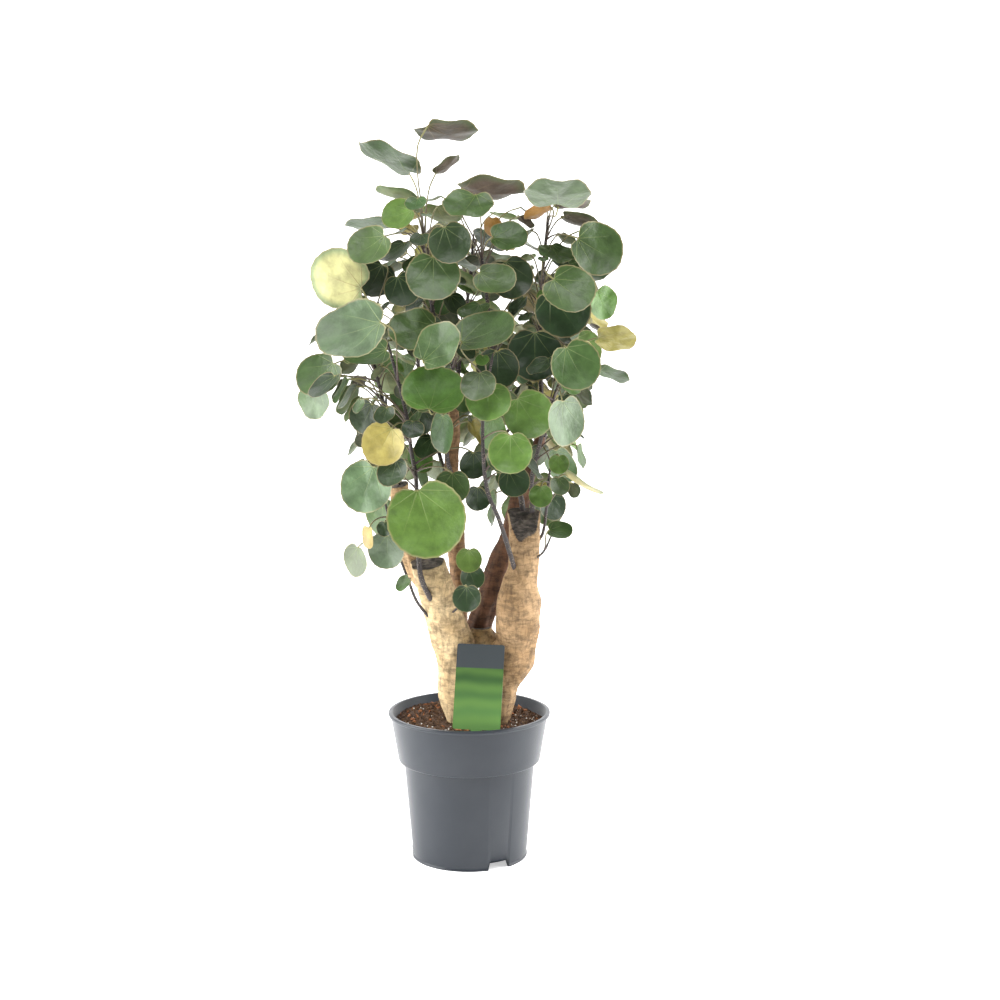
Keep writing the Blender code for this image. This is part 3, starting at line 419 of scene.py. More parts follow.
class Space:
    """Every ball placed so far, with the spray that it belongs to and its kind."""

    def __init__(self):
        self.balls = np.zeros((0, 4))
        self.owner = np.zeros(0, int)
        self.kind = np.zeros(0, int)

    def add(self, balls, owner, kind):
        self.balls = np.vstack([self.balls, balls])
        self.owner = np.concatenate([self.owner, np.full(len(balls), owner)])
        self.kind = np.concatenate([self.kind, np.full(len(balls), kind)])

    def clear_of(self, balls, keep, margin):
        """True when no ball comes nearer than margin to the placed balls that keep selects."""
        middle = balls[:, :3].mean(axis=0)
        reach = np.linalg.norm(balls[:, :3] - middle, axis=1).max() + 20
        near = keep & (np.linalg.norm(self.balls[:, :3] - middle, axis=1) < reach + self.balls[:, 3])
        others = self.balls[near]
        if not len(others):
            return True
        apart = np.linalg.norm(balls[:, None, :3] - others[None, :, :3], axis=2)
        return bool((apart - balls[:, None, 3] - others[None, :, 3]).min() > margin)

    def takes(self, leaf, owner):
        """True when the leaf's blade is clear of everything, and its stalk of all but its own spray's wood
        and stalks."""
        own = self.owner == owner
        wood, stalks, blades = (self.kind == kind for kind in (WOOD, STALK, BLADE))
        strange = blades | (wood & ~own) | (stalks & ~own)
        return (
            self.clear_of(leaf_balls(leaf), np.full(len(own), True), BLADE_GAP)
            and self.clear_of(stalk_balls(leaf), strange, STALK_GAP)
        )


SPACE = Space()
STEMS = []
GROWN = [[] for _ in SPRAYS]


def place_wood():
    """Takes the room of the limbs and the stems, before any leaf grows."""
    for rows in LIMBS.values():
        line = smooth(rows, 3)
        SPACE.add(balls_along(line, line[:, 3], 6.0), -1, WOOD)
    for owner, spray in enumerate(SPRAYS):
        line = smooth(spray.route, 4)
        radii = np.linspace(*spray.radius, len(line))
        STEMS.append(np.column_stack([line, radii]))
        SPACE.add(balls_along(line, radii, 5.0), owner, WOOD)


place_wood()
print(len(SPACE.balls), "balls of wood")

# %% Leaves that are seen
SLIDES = (0, -8, 8, -16, 16, -24, 24, -34, 34, -46, 46)


def keep(owner, leaf):
    GROWN[owner].append(leaf)
    SPACE.add(leaf_balls(leaf), owner, BLADE)
    SPACE.add(stalk_balls(leaf), owner, STALK)


def grow_mark(mark, owner):
    """The marked leaf, slid along its line of sight until it and its stalk are clear, or None."""
    stem = STEMS[owner]
    seen = np.array((mark.x, 0.0, mark.z))
    for slide in SLIDES:
        middle = seen + (seen - EYE) * (mark.depth + slide) / -EYE[1]
        leaf = leaf_of(middle, mark.face, mark.tip, mark.width, mark.tint)
        joint = blade_point(leaf, 0, 1)
        far = np.linalg.norm(stem[:, :3] - joint, axis=1)
        wish = abs(far - max(22.0, 0.8 * mark.width)) + np.maximum(0, stem[:, 2] - joint[2] - 10)
        for at in np.argsort(wish)[:6]:
            grown = with_stalk(leaf, stem[at, :3])
            if SPACE.takes(grown, owner):
                return grown
    return None


def grow_marks():
    for owner, spray in enumerate(SPRAYS):
        for seen in spray.marks:
            leaf = grow_mark(seen, owner)
            if leaf is None:
                print("no room for the marked leaf", spray.name, seen.x, seen.z)
            else:
                keep(owner, leaf)


grow_marks()
print(sum(map(len, GROWN)), "leaves that are seen")

# %% Leaves by the rule
TINTS = (("green", 46), ("dark", 24), ("bright", 16), ("pale", 6), ("bronze", 4), ("yellow", 4))
TRIES = 30


def in_crown(leaf):
    """True when the blade stays between the crown's edges."""
    points = leaf_balls(leaf)[:, :3]
    heights, left, right = zip(*CROWN)
    past_left = points[:, 0] > np.interp(points[:, 2], heights, left)
    short_of_right = points[:, 0] < np.interp(points[:, 2], heights, right)
    return bool((past_left & short_of_right).all())


def grow_leaf(owner, spray, height, turn, random):
    """One leaf by the rule: it leaves the stem at height, a share of its length, toward the bearing turn. Low
    leaves hang and face outward, and high ones lie flat. A leaf that can't keep clear is tried again."""
    stem = STEMS[owner]
    centre, half = (np.array(row, float) for row in spray.space)
    for attempt in range(TRIES):
        start = stem[int(height * (len(stem) - 1)), :3]
        angle = turn + random.uniform(-0.6, 0.6)
        outward = np.array((math.cos(angle), math.sin(angle), 0.0))
        high = np.clip((start[2] - 420) / 420, 0, 1)
        rise = math.radians(15 + 45 * high + random.uniform(-12, 12))
        tilt = math.radians(12 + 58 * high + random.uniform(-14, 14))
        width = random.uniform(*spray.widths) * (1 - 0.016 * attempt)
        length = random.uniform(32, 95)
        face = math.cos(tilt) * outward + (0, 0, math.sin(tilt))
        down = math.sin(tilt) * outward - (0, 0, math.cos(tilt))
        joint = start + length * (math.cos(rise) * outward + (0, 0, math.sin(rise)))
        middle = joint + STALK_AT * width * down
        leaf = with_stalk(leaf_of(middle, face, down, width, None), start)
        inside = (((middle - centre) / half) ** 2).sum() < 1 and in_crown(leaf)
        if inside and SPACE.takes(leaf, owner):
            return leaf
    return None


def fill(owner, spray, places, random):
    """Grows a leaf at each place, a height and a bearing, and draws its tint by the tints' shares."""
    names, shares = zip(*TINTS)
    shares = np.array(shares) / sum(shares)
    for height, turn in places:
        leaf = grow_leaf(owner, spray, height, turn, random)
        tint = names[random.choice(len(names), p=shares)]
        if leaf is not None:
            keep(owner, leaf._replace(tint=tint))


def grow_large_leaves():
    """Fills each spray from its tip down to about a third of its stem, in golden angles."""
    for owner, spray in enumerate(SPRAYS):
        places = (
            (1 - 0.62 * (count / spray.leaves) ** 0.8, spray.seed + count * GOLDEN_ANGLE)
            for count in range(spray.leaves)
        )
        fill(owner, spray, places, np.random.default_rng(spray.seed))
        print(spray.name, len(GROWN[owner]), "leaves")


grow_large_leaves()

# %% [markdown]
# The solids hold the large leaves. On the real plant, small young leaves fill in between them on the same
# stems, so the same rule grows them here within the room that is left.

# %% Small leaves
SMALL_LEAVES = {
    "top_spray": 34, "crown_spray": 34, "right_top_spray": 32, "right_spray": 24, "front_right_spray": 10,
    "front_spray": 16, "left_front_spray": 18, "left_spray": 28, "low_left_spray": 3, "low_right_spray": 4,
    "top_back_spray": 18, "back_left_spray": 16, "back_centre_spray": 16, "back_right_spray": 14,
    "low_back_right_spray": 5, "low_back_left_spray": 5,
}
SMALL_WIDTHS = (26, 52)
LARGE_COUNTS = [len(leaves) for leaves in GROWN]


def grow_small_leaves():
    """Small leaves stand at random heights, turned a little from the large ones' bearings."""
    for owner, spray in enumerate(SPRAYS):
        random = np.random.default_rng(200 + spray.seed)
        places = (
            (random.uniform(0.35, 1.0), spray.seed + 1.7 + count * GOLDEN_ANGLE)
            for count in range(SMALL_LEAVES.get(spray.name, 0))
        )
        fill(owner, spray._replace(widths=SMALL_WIDTHS), places, random)


grow_small_leaves()
print(sum(LARGE_COUNTS), "large leaves, and with the small ones", sum(map(len, GROWN)))

# %% [markdown]
# Every surface below is a grid: a function of two parameters, worked out as whole arrays. Modifiers or a
# sculpted mesh could give the same shapes, but a formula stays exact and is easy to change. One helper turns
# a grid into faces, and a builder puts the shapes of a piece into one mesh, which then rides on the body.

# %% Faces of a grid
def grid_faces(rows, columns, first=0, around=True):
    """Quads of a grid of rows by columns of points; around joins the last column to the first."""
    i = np.arange(rows - 1)[:, None]
    j = np.arange(columns if around else columns - 1)[None, :]
    k = (j + 1) % columns
    corners = (i * columns + j, i * columns + k, (i + 1) * columns + k, (i + 1) * columns + j)
    quads = np.stack([np.broadcast_to(corner, (rows - 1, j.size)) for corner in corners], -1)
    return first + quads.reshape(-1, 4)


def split(quads):
    """Two triangles of each quad, both on its diagonal from the first corner to the third."""
    return np.vstack([quads[:, [0, 1, 2]], quads[:, [0, 2, 3]]])


def fan_faces(ring, tip, flip=False):
    """Triangles from each edge of a ring of point numbers to the tip point."""
    after = np.roll(ring, -1)
    columns = [after, ring] if flip else [ring, after]
    return np.column_stack(columns + [np.full(len(ring), tip)])


def closed_faces(rows, columns, flip=True):
    """Faces of a grid of rings. Fans close both ends, to the two points that follow the grid's own."""
    count = rows * columns
    first = np.arange(columns)
    quads = grid_faces(rows, columns)
    if flip:
        quads = quads[:, ::-1]
    return [quads, fan_faces(first, count, not flip), fan_faces(count - columns + first, count + 1, flip)]


# %% Builder of a piece
class Builder:
    """Collects the points in millimetres, the faces and the values per point of many shapes for one piece."""

    def __init__(self):
        self.points, self.faces, self.slots, self.values, self.count = [], [], [], {}, 0

    def add(self, points, faces, slots=None, **values):
        """Adds one shape. faces is a list of arrays, and slots has the material's number for each."""
        for part, slot in zip(faces, slots or [0] * len(faces)):
            self.faces += (part + self.count).tolist()
            self.slots.append(np.full(len(part), slot))
        for key, value in values.items():
            self.values.setdefault(key, []).append(np.asarray(value, float))
        self.points.append(points)
        self.count += len(points)

    def write_values(self, data):
        """Writes each value into the mesh: a number or a colour per point, or two numbers as a UV map."""
        for key, rows in self.values.items():
            rows = np.concatenate(rows)
            if rows.ndim == 1:
                data.attributes.new(key, "FLOAT", "POINT").data.foreach_set("value", rows)
            elif rows.shape[1] == 2:
                corner = np.empty(len(data.loops), np.int32)
                data.loops.foreach_get("vertex_index", corner)
                data.uv_layers.new(name=key).data.foreach_set("uv", rows[corner].ravel())
            else:
                colours = np.column_stack([rows, np.ones(len(rows))]).ravel()
                data.attributes.new(key, "FLOAT_COLOR", "POINT").data.foreach_set("color", colours)

    def piece(self, name, slot, materials, replaces, smooth_faces=True, sharp_angle=None):
        """Makes the mesh with its faces turned outwards, and hands the piece to the frame."""
        data = bpy.data.meshes.new(name)
        data.from_pydata((np.vstack(self.points) * MM).tolist(), [], self.faces)
        shell = bmesh.new()
        shell.from_mesh(data)
        bmesh.ops.recalc_face_normals(shell, faces=shell.faces)
        shell.to_mesh(data)
        shell.free()
        data.polygons.foreach_set("material_index", np.concatenate(self.slots).astype(np.int32))
        data.polygons.foreach_set("use_smooth", np.full(len(data.polygons), smooth_faces))
        if sharp_angle:
            data.set_sharp_from_angle(angle=math.radians(sharp_angle))
        self.write_values(data)
        for made in materials:
            data.materials.append(made)
        data.validate()
        obj = bpy.data.objects.new(name, data)
        bpy.context.scene.collection.objects.link(obj)
        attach(obj, BODY)
        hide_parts(*replaces)
        print(name, self.count, "points", len(data.polygons), "faces")


# %% Tubes
def tube_grid(points, radii, sides):
    """A ring of points round each point of a line, and the rings' directions. A point is
    p + r (cos a u + sin a v), with u and v square to the line."""
    points = np.asarray(points, float)
    tangent = np.gradient(points, axis=0)
    tangent /= np.linalg.norm(tangent, axis=1)[:, None]
    level = np.eye(3)[np.argmin(abs(tangent.mean(axis=0)))]
    u = np.cross(tangent, level)
    u /= np.linalg.norm(u, axis=1)[:, None]
    v = np.cross(tangent, u)
    a = np.linspace(0, 2 * math.pi, sides, endpoint=False)
    ring = np.cos(a)[None, :, None] * u[:, None] + np.sin(a)[None, :, None] * v[:, None]
    return points[:, None] + np.asarray(radii)[:, None, None] * ring, ring


def add_tube(builder, points, radii, sides, **values):
    """A tube with both ends closed, and each value given per point of its line."""
    grid, _ = tube_grid(points, radii, sides)
    ends = np.array([points[0], points[-1]])
    spread = {}
    for key, value in values.items():
        spread[key] = np.concatenate([np.repeat(value, sides, axis=0), value[[0, -1]]])
    builder.add(np.vstack([grid.reshape(-1, 3), ends]), closed_faces(len(points), sides), **spread)


# %% [markdown]
# Colours are written as sRGB hex values, as a colour picker shows them, and turned to linear light by one
# function. A material is a small graph of nodes, and one helper adds a node with its settings and links.

# %% Colours and nodes
def linear(code):
    """The linear red, green and blue of a hex sRGB colour."""
    channels = np.array([int(code[k : k + 2], 16) for k in (0, 2, 4)]) / 255
    return np.where(channels <= 0.04045, channels / 12.92, ((channels + 0.055) / 1.055) ** 2.4)


def rgba(code):
    return (*linear(code), 1.0)


def shown(sockets):
    """The sockets that a node shows as it is set, from the top down."""
    return [socket for socket in sockets if socket.enabled]


def set_inputs(node, inputs):
    """Fills a node's inputs, from a dict by their names or a row in the order that they show. Each is a plain
    value, or another node's output to link."""
    if isinstance(inputs, dict):
        pairs = [(node.inputs[name], value) for name, value in inputs.items()]
    else:
        pairs = zip(shown(node.inputs), inputs)
    for socket, value in pairs:
        if isinstance(value, bpy.types.NodeSocket):
            node.id_data.links.new(value, socket)
        else:
            socket.default_value = value


def add_node(tree, kind, inputs=(), output=None, **settings):
    """Adds a shader node, fills its inputs and gives back the named output, or the first that shows. Rows are
    for Mix its share and two colours, for MapRange a value, its range and the new range, and for TexNoise the
    place, scale, detail, roughness, lacunarity and distortion."""
    made = tree.nodes.new("ShaderNode" + kind)
    for key, value in settings.items():
        setattr(made, key, value)
    set_inputs(made, inputs)
    return made.outputs[output] if output else shown(made.outputs)[0]


def new_material(name):
    """A material, its node tree, its Principled shader and the place on the piece in metres."""
    made = bpy.data.materials.new(name)
    made.use_nodes = True
    tree = made.node_tree
    return made, tree, tree.nodes["Principled BSDF"], add_node(tree, "TexCoord", output="Object")


# %% [markdown]
# A fresh leaf is a waxy skin over green tissue, so it has a soft gloss, and its underside is duller. Its
# palmate veins fan out from the stalk's joint, and its margin is a thin pale line. The veins could be painted
# on a picture, but a formula on the blade's own UV map stays sharp: the map's origin is the joint, and the
# distance to the nearest vein is about the distance from the joint times the angle to it.

# %% Leaf material
# Veins are VEIN_STEP apart as an angle, and their width is a share of the blade's. Scales are in turns per
# metre: mottles are about 18 mm wide, and the skin's puckers 8 mm, coarser than real ones, so that they show.
VEIN_STEP = 0.62
VEIN_WIDTH = 0.004
MOTTLE_SCALE = 55.0
PUCKER_SCALE = 130.0
MARGIN = (0.94, 0.985)
MARGIN_COLOUR = "a08f6a"


def leaf_material(name, roughness, vein_colour, veins):
    """One side of a leaf. A vein is strongest at the joint and fades outwards; veins is ADD where they stand
    up from the skin, and SUBTRACT where they are sunk in it."""
    made, tree, shader, place = new_material(name)
    tint = add_node(tree, "Attribute", output="Color", attribute_name="tint")
    reach = add_node(tree, "Attribute", output="Fac", attribute_name="reach")
    uv = add_node(tree, "UVMap", uv_map="leaf_uv")
    across = add_node(tree, "SeparateXYZ", (uv,), "X")
    along = add_node(tree, "SeparateXYZ", (uv,), "Y")
    far = add_node(tree, "VectorMath", (uv,), operation="LENGTH")
    angle = add_node(tree, "Math", (across, along), operation="ARCTAN2")
    angle = add_node(tree, "Math", (angle,), operation="ABSOLUTE")
    angle = add_node(tree, "Math", (angle, VEIN_STEP / 2), operation="PINGPONG")
    away = add_node(tree, "Math", (angle, far), operation="MULTIPLY")
    line = add_node(tree, "MapRange", (away, VEIN_WIDTH, 2.4 * VEIN_WIDTH, 1.0, 0.0))
    fade = add_node(tree, "MapRange", (far, 0.0, 0.6, 0.4, 0.03))
    vein = add_node(tree, "Math", (line, fade), operation="MULTIPLY")
    mottle = add_node(tree, "TexNoise", (place, MOTTLE_SCALE, 4.0, 0.6))
    shade = add_node(tree, "MapRange", (mottle, 0.3, 0.7, 0.72, 1.3))
    green = add_node(tree, "VectorMath", (tint, shade), operation="MULTIPLY")
    veined = add_node(tree, "Mix", (vein, green, rgba(vein_colour)), data_type="RGBA")
    edge = add_node(tree, "MapRange", (reach, *MARGIN, 0.0, 0.5))
    edged = add_node(tree, "Mix", (edge, veined, rgba(MARGIN_COLOUR)), data_type="RGBA")
    puckers = add_node(tree, "TexNoise", (place, PUCKER_SCALE, 3.0))
    raised = add_node(tree, "Math", (puckers, vein), operation=veins)
    normal = add_node(tree, "Bump", {"Height": raised, "Distance": 0.0012, "Strength": 0.8})
    set_inputs(shader, {"Base Color": edged, "Roughness": roughness, "IOR": 1.42, "Normal": normal})
    return made


LEAF_MATERIALS = (
    leaf_material("waxy leaf, upper side", 0.38, "8a9a5a", "SUBTRACT"),
    leaf_material("waxy leaf, underside", 0.55, "9a7d5c", "ADD"),
)

# %% [markdown]
# A blade is nearly round, with a notch at its stalk, small round teeth and a shallow cup. It is a polar grid:
# its bearing runs round from the notch, and its reach from the middle to the rim. Two such sheets share the
# rim and lie 0.7 mm apart in the middle, so each leaf is one thin closed shell rather than a flat card.

# %% Blades
# The pale upper tint is partly a painted sheen: a bluish grey-green for the studio light's gloss on those
# leaves. The pale cream underside is the leaf's own colour.
UPPER_TINTS = {
    "green": "3a5029", "dark": "293922", "bright": "527032", "pale": "56684a", "bronze": "444f32",
    "yellow": "968b48", "amber": "8a642c",
}
UNDER_TINTS = {
    "green": "5f6847", "dark": "454d36", "bright": "717b4a", "pale": "a89d6e", "bronze": "4d4238",
    "yellow": "a0955a", "amber": "8c6a34",
}
LARGE_TEETH = 24
SMALL_TEETH = 14
TOOTH_DEPTH = 0.009
BLADE_RINGS = (0.35, 0.7, 1.0)
BLADE_THICK = 0.7
RIM_ANGLE = 100


def blade_grid(leaf, columns, reach, random):
    """The upper sheet. At a bearing b and a reach s, its point is middle + s R(b) T out(b) + lift face. R is
    the rule's rim, T the teeth, and the lift is the cup, a wave round the rim and a fold on the midrib."""
    t = np.linspace(-math.pi, math.pi, columns, endpoint=False)
    bearing = (t - 0.3 * np.sin(t))[None, :]
    rim = 0.5 * leaf.width * (1 - NOTCH_DEPTH * np.exp(-((bearing / NOTCH_SPREAD) ** 2)))
    teeth = 1 + TOOTH_DEPTH * np.cos(math.pi * np.arange(columns))[None, :] * (reach > 0.99)
    wave = random.uniform(0.02, 0.04) * np.sin(random.integers(3, 6) * bearing + random.uniform(0, 6.3))
    fold = random.uniform(-0.02, 0.05) * np.abs(np.sin(bearing)) * reach
    side = np.cross(leaf.tip, leaf.face)
    out = -np.cos(bearing)[..., None] * leaf.tip - np.sin(bearing)[..., None] * side
    flat = reach * rim * teeth
    lift = leaf.width * (BLADE_CUP * (2 * reach * rim / leaf.width) ** 2 + wave * reach**2 + fold)
    return leaf.middle + flat[..., None] * out + lift[..., None] * leaf.face


def add_leaf(builder, leaf, number, teeth):
    """One closed blade, coloured and waved by its number. Its points are the upper sheet, the lower sheet
    without its rim, and the middle of each."""
    random = np.random.default_rng(1000 + number)
    columns = 2 * teeth
    rows = len(BLADE_RINGS)
    reach = np.array(BLADE_RINGS)[:, None]
    grid = blade_grid(leaf, columns, reach, random)
    sunk = BLADE_THICK * (1 - reach[:-1] ** 2)
    below = grid[:-1] - sunk[..., None] * leaf.face
    middles = np.array([leaf.middle, leaf.middle - BLADE_THICK * leaf.face])
    points = np.vstack([grid.reshape(-1, 3), below.reshape(-1, 3), middles])

    under = rows * columns
    top_middle = under + (rows - 1) * columns
    round_once = np.arange(columns)
    rim = (rows - 1) * columns + round_once
    inner = under + (rows - 2) * columns + round_once
    faces = [
        split(grid_faces(rows, columns)),
        fan_faces(round_once, top_middle, True),
        split(grid_faces(rows - 1, columns, under)),
        split(np.column_stack([inner, np.roll(inner, -1), np.roll(rim, -1), rim])),
        fan_faces(under + round_once, top_middle + 1),
    ]

    joint = blade_point(leaf, 0, 1)
    side = np.cross(leaf.tip, leaf.face)
    uv = np.column_stack([(points - joint) @ side, (points - joint) @ leaf.tip]) / leaf.width
    reaches = np.repeat([*BLADE_RINGS, *BLADE_RINGS[:-1]], columns)
    bright = random.uniform(0.82, 1.18) * (1 + 0.05 * random.standard_normal(3))
    upper, lower = (linear(table[leaf.tint]) * bright for table in (UPPER_TINTS, UNDER_TINTS))
    colours = np.vstack([np.tile(upper, (under, 1)), np.tile(lower, (len(points) - under, 1))])
    colours[top_middle] = upper
    builder.add(points, faces, (0, 0, 1, 1, 1), tint=colours, reach=np.append(reaches, [0, 0]), leaf_uv=uv)


SPRAY_NAMES = [spray.name for spray in SPRAYS]


def make_blades():
    large, small = Builder(), Builder()
    number = 0
    for leaves, large_count in zip(GROWN, LARGE_COUNTS):
        for leaf in leaves[:large_count]:
            add_leaf(large, leaf, number, LARGE_TEETH)
            number += 1
        for leaf in leaves[large_count:]:
            add_leaf(small, leaf, number, SMALL_TEETH)
            number += 1
    large.piece("large_leaf_blades", "leaf", LEAF_MATERIALS, SPRAY_NAMES, sharp_angle=RIM_ANGLE)
    small.piece("small_leaf_blades", "leaf", LEAF_MATERIALS, SPRAY_NAMES, sharp_angle=RIM_ANGLE)


make_blades()

# %% [markdown]
# A leaf stalk is a smooth cord about two millimetres thick, purple at the stem and green at the blade, and
# thicker at its foot. The stem is dark with pale pores, and swells where each old leaf left its ring. Both
# are tubes with a radius for each point of their line, so a swelling is only a larger radius.

# %% Stalks and stems
# Scales are in turns per metre: pores are about 4 mm apart, and clouds of the skin's colour 17 mm wide.
PORE_SCALE = 260.0
SKIN_SCALE = 60.0
RING_STEP = 9
STALK_SIDES = 7
STEM_SIDES = 12
STEM_END = 9


def stalk_material():
    made, tree, shader, _ = new_material("leaf stalk, smooth skin")
    along = add_node(tree, "Attribute", output="Fac", attribute_name="along")
    colour = add_node(tree, "Mix", (along, rgba("4a3a3c"), rgba("7d7a4c")), data_type="RGBA")
    set_inputs(shader, {"Base Color": colour, "Roughness": 0.42, "IOR": 1.45})
    return made


def stem_material():
    made, tree, shader, place = new_material("young stem, dark skin with pores")
    squeezed = add_node(tree, "Mapping", {"Vector": place, "Scale": (1.0, 1.0, 2.2)})
    pores = add_node(tree, "TexVoronoi", (squeezed, PORE_SCALE))
    spot = add_node(tree, "MapRange", (pores, 0.16, 0.28, 0.8, 0.0))
    cloud = add_node(tree, "TexNoise", (place, SKIN_SCALE, 3.0))
    skin = add_node(tree, "Mix", (cloud, rgba("1f1c20"), rgba("4a423f")), data_type="RGBA")
    spotted = add_node(tree, "Mix", (spot, skin, rgba("978a78")), data_type="RGBA")
    normal = add_node(tree, "Bump", {"Height": spot, "Distance": 0.0004, "Strength": 1.0})
    set_inputs(shader, {"Base Color": spotted, "Roughness": 0.6, "IOR": 1.45, "Normal": normal})
    return made


def add_stalk(builder, leaf):
    """A tube whose radius falls off from the foot and grows a little toward the blade."""
    line = smooth(leaf.stalk[:5], 3)
    along = np.linspace(0, 1, len(line))
    radii = PETIOLE_RADIUS * (0.75 + 0.75 * np.exp(-9 * along) + 0.12 * along)
    add_tube(builder, line, radii, STALK_SIDES, along=along)


def add_stem(builder, spray):
    """A tube that tapers from the limb to a point, with a narrow swelling every RING_STEP millimetres."""
    line = smooth(spray.route, 14)
    along = np.linspace(0, 1, len(line))
    length = np.linalg.norm(np.diff(line, axis=0), axis=1).sum()
    rings = 1 + 0.12 * np.abs(np.cos(math.pi * along * length / RING_STEP)) ** 12
    foot = np.interp(along * length, (0, 30), (0.55, 1))
    radii = 0.82 * foot * np.interp(along, (0, 1), spray.radius) * rings
    end = line[-1] + STEM_END * unit(line[-1] - line[-2])
    add_tube(builder, np.vstack([line, end]), np.append(radii, 0.3), STEM_SIDES)


def make_stalks_and_stems():
    stalks, stems = Builder(), Builder()
    for leaves in GROWN:
        for leaf in leaves:
            add_stalk(stalks, leaf)
    for spray in SPRAYS:
        add_stem(stems, spray)
    stalks.piece("leaf_stalks", "leaf", [stalk_material()], SPRAY_NAMES)
    stems.piece("stems", "bark", [stem_material()], SPRAY_NAMES)


make_stalks_and_stems()

# %% [markdown]
# The stumps are old wood: a pale corky bark with level scars where leaves once grew, shallow dents and a
# sawn top. Each limb is a tube whose radius carries that relief, so it shows in the outline too. At a level
# cut each column of the tube stops where it meets the saw's plane, so the sawn face has a sharp rim. At a
# steep cut the tube is pressed flat onto the plane.

# %% Limbs
LIMB_SIDES = 72
BARK_STEP = 2.0
DENT_WAVES = 22
DENT_DEPTH = 0.016
SCAR_STEP = 9.0
SCAR_HEIGHT = 0.55
SCAR_WIDTH = 1.1
CAP_RINGS = (0.93, 0.6, 0.25)
CAP_RISE = 0.4


def relief(angle, height, seed, size):
    """Bark relief in millimetres: dents as a sum of sines of the angle and the height, and a narrow ring with
    a Gaussian profile at each uneven step of the height."""
    random = np.random.default_rng(seed)
    total = np.zeros(np.broadcast(angle, height).shape)
    for _ in range(DENT_WAVES):
        turns = random.integers(1, 9)
        rise = random.normal(0, 0.09)
        depth = random.uniform(0.2, 1)
        total = total + depth * np.sin(turns * angle + rise * height + random.uniform(0, 6.3))
    total *= DENT_DEPTH * size
    for at in np.arange(height.min(), height.max(), SCAR_STEP):
        middle = at + random.uniform(0, 7) + 1.6 * np.sin(angle + random.uniform(0, 6.3))
        weight = 0.35 + 0.65 * np.sin(angle + random.uniform(0, 6.3))
        total = total + SCAR_HEIGHT * weight * np.exp(-(((height - middle) / SCAR_WIDTH) ** 2))
    return total


def cut_columns(grid, point, normal):
    """The grid with each column stopped where it meets the plane and spaced evenly again below it."""
    depth = (grid - point) @ unit(normal)
    rows = len(grid)
    stop = np.argmax(depth > 0, axis=0)
    stop = np.where((depth > 0).any(axis=0), stop, rows - 1)
    columns = np.arange(grid.shape[1])
    low, high = depth[stop - 1, columns], depth[stop, columns]
    end = stop - 1 + np.clip(-low / (high - low), 0, 1)
    at = np.linspace(0, 1, rows)[:, None] * end[None, :]
    base = np.minimum(at.astype(int), rows - 2)
    share = (at - base)[..., None]
    return (1 - share) * grid[base, columns] + share * grid[base + 1, columns]


def add_limb(builder, rows, seed, wood, cuts=()):
    """A limb in steps of BARK_STEP, with its relief, its cuts and a top closed by ever smaller rings."""
    line = smooth(rows, 12)
    lengths = np.concatenate([[0], np.cumsum(np.linalg.norm(np.diff(line[:, :3], axis=0), axis=1))])
    want = np.arange(0, lengths[-1], BARK_STEP)
    line = np.column_stack([np.interp(want, lengths, line[:, k]) for k in range(4)])
    grid, ring = tube_grid(line[:, :3], line[:, 3], LIMB_SIDES)
    angle = np.linspace(0, 2 * math.pi, LIMB_SIDES, endpoint=False)[None, :]
    grid = grid + relief(angle, want[:, None], seed, line[:, 3:4])[..., None] * ring
    bare = np.zeros(grid.shape[:2])
    for point, normal in cuts:
        if normal[2] > 0.9:
            grid = cut_columns(grid, point, normal)
        else:
            over = np.maximum(0, (grid - point) @ unit(normal))
            grid = grid - over[..., None] * unit(normal)
            bare = np.maximum(bare, over > 0.3)
    rim = grid[-1]
    centre = rim.mean(axis=0)
    caps = [centre + share * (rim - centre) for share in CAP_RINGS]
    caps[0] = caps[0] + CAP_RISE * unit(grid[-1] - grid[-2]).mean(axis=0)
    grid = np.concatenate([grid, np.array(caps)])
    points = np.vstack([grid.reshape(-1, 3), line[:1, :3], centre[None, :]])
    sawn = np.concatenate([bare.ravel(), np.ones(len(CAP_RINGS) * LIMB_SIDES), [0, 1]])
    woods = np.tile(linear(wood), (len(points), 1))
    builder.add(points, closed_faces(len(grid), LIMB_SIDES), sawn=sawn, wood=woods)


# %% Bark and sawn wood
# Scales are in turns per metre: level scars are about 17 mm wide and a third of that high, fibres 5 mm wide
# and three times as long, and weathered patches 45 mm. The real fibres are finer and wouldn't show.
SCAR_SCALE = 60.0
FIBRE_SCALE = 210.0
PATCH_SCALE = 22.0
LEVEL = (1.0, 1.0, 2.6)
UPRIGHT = (1.0, 1.0, 0.3)
WEATHER = (0.62, 0.55, 0.44)


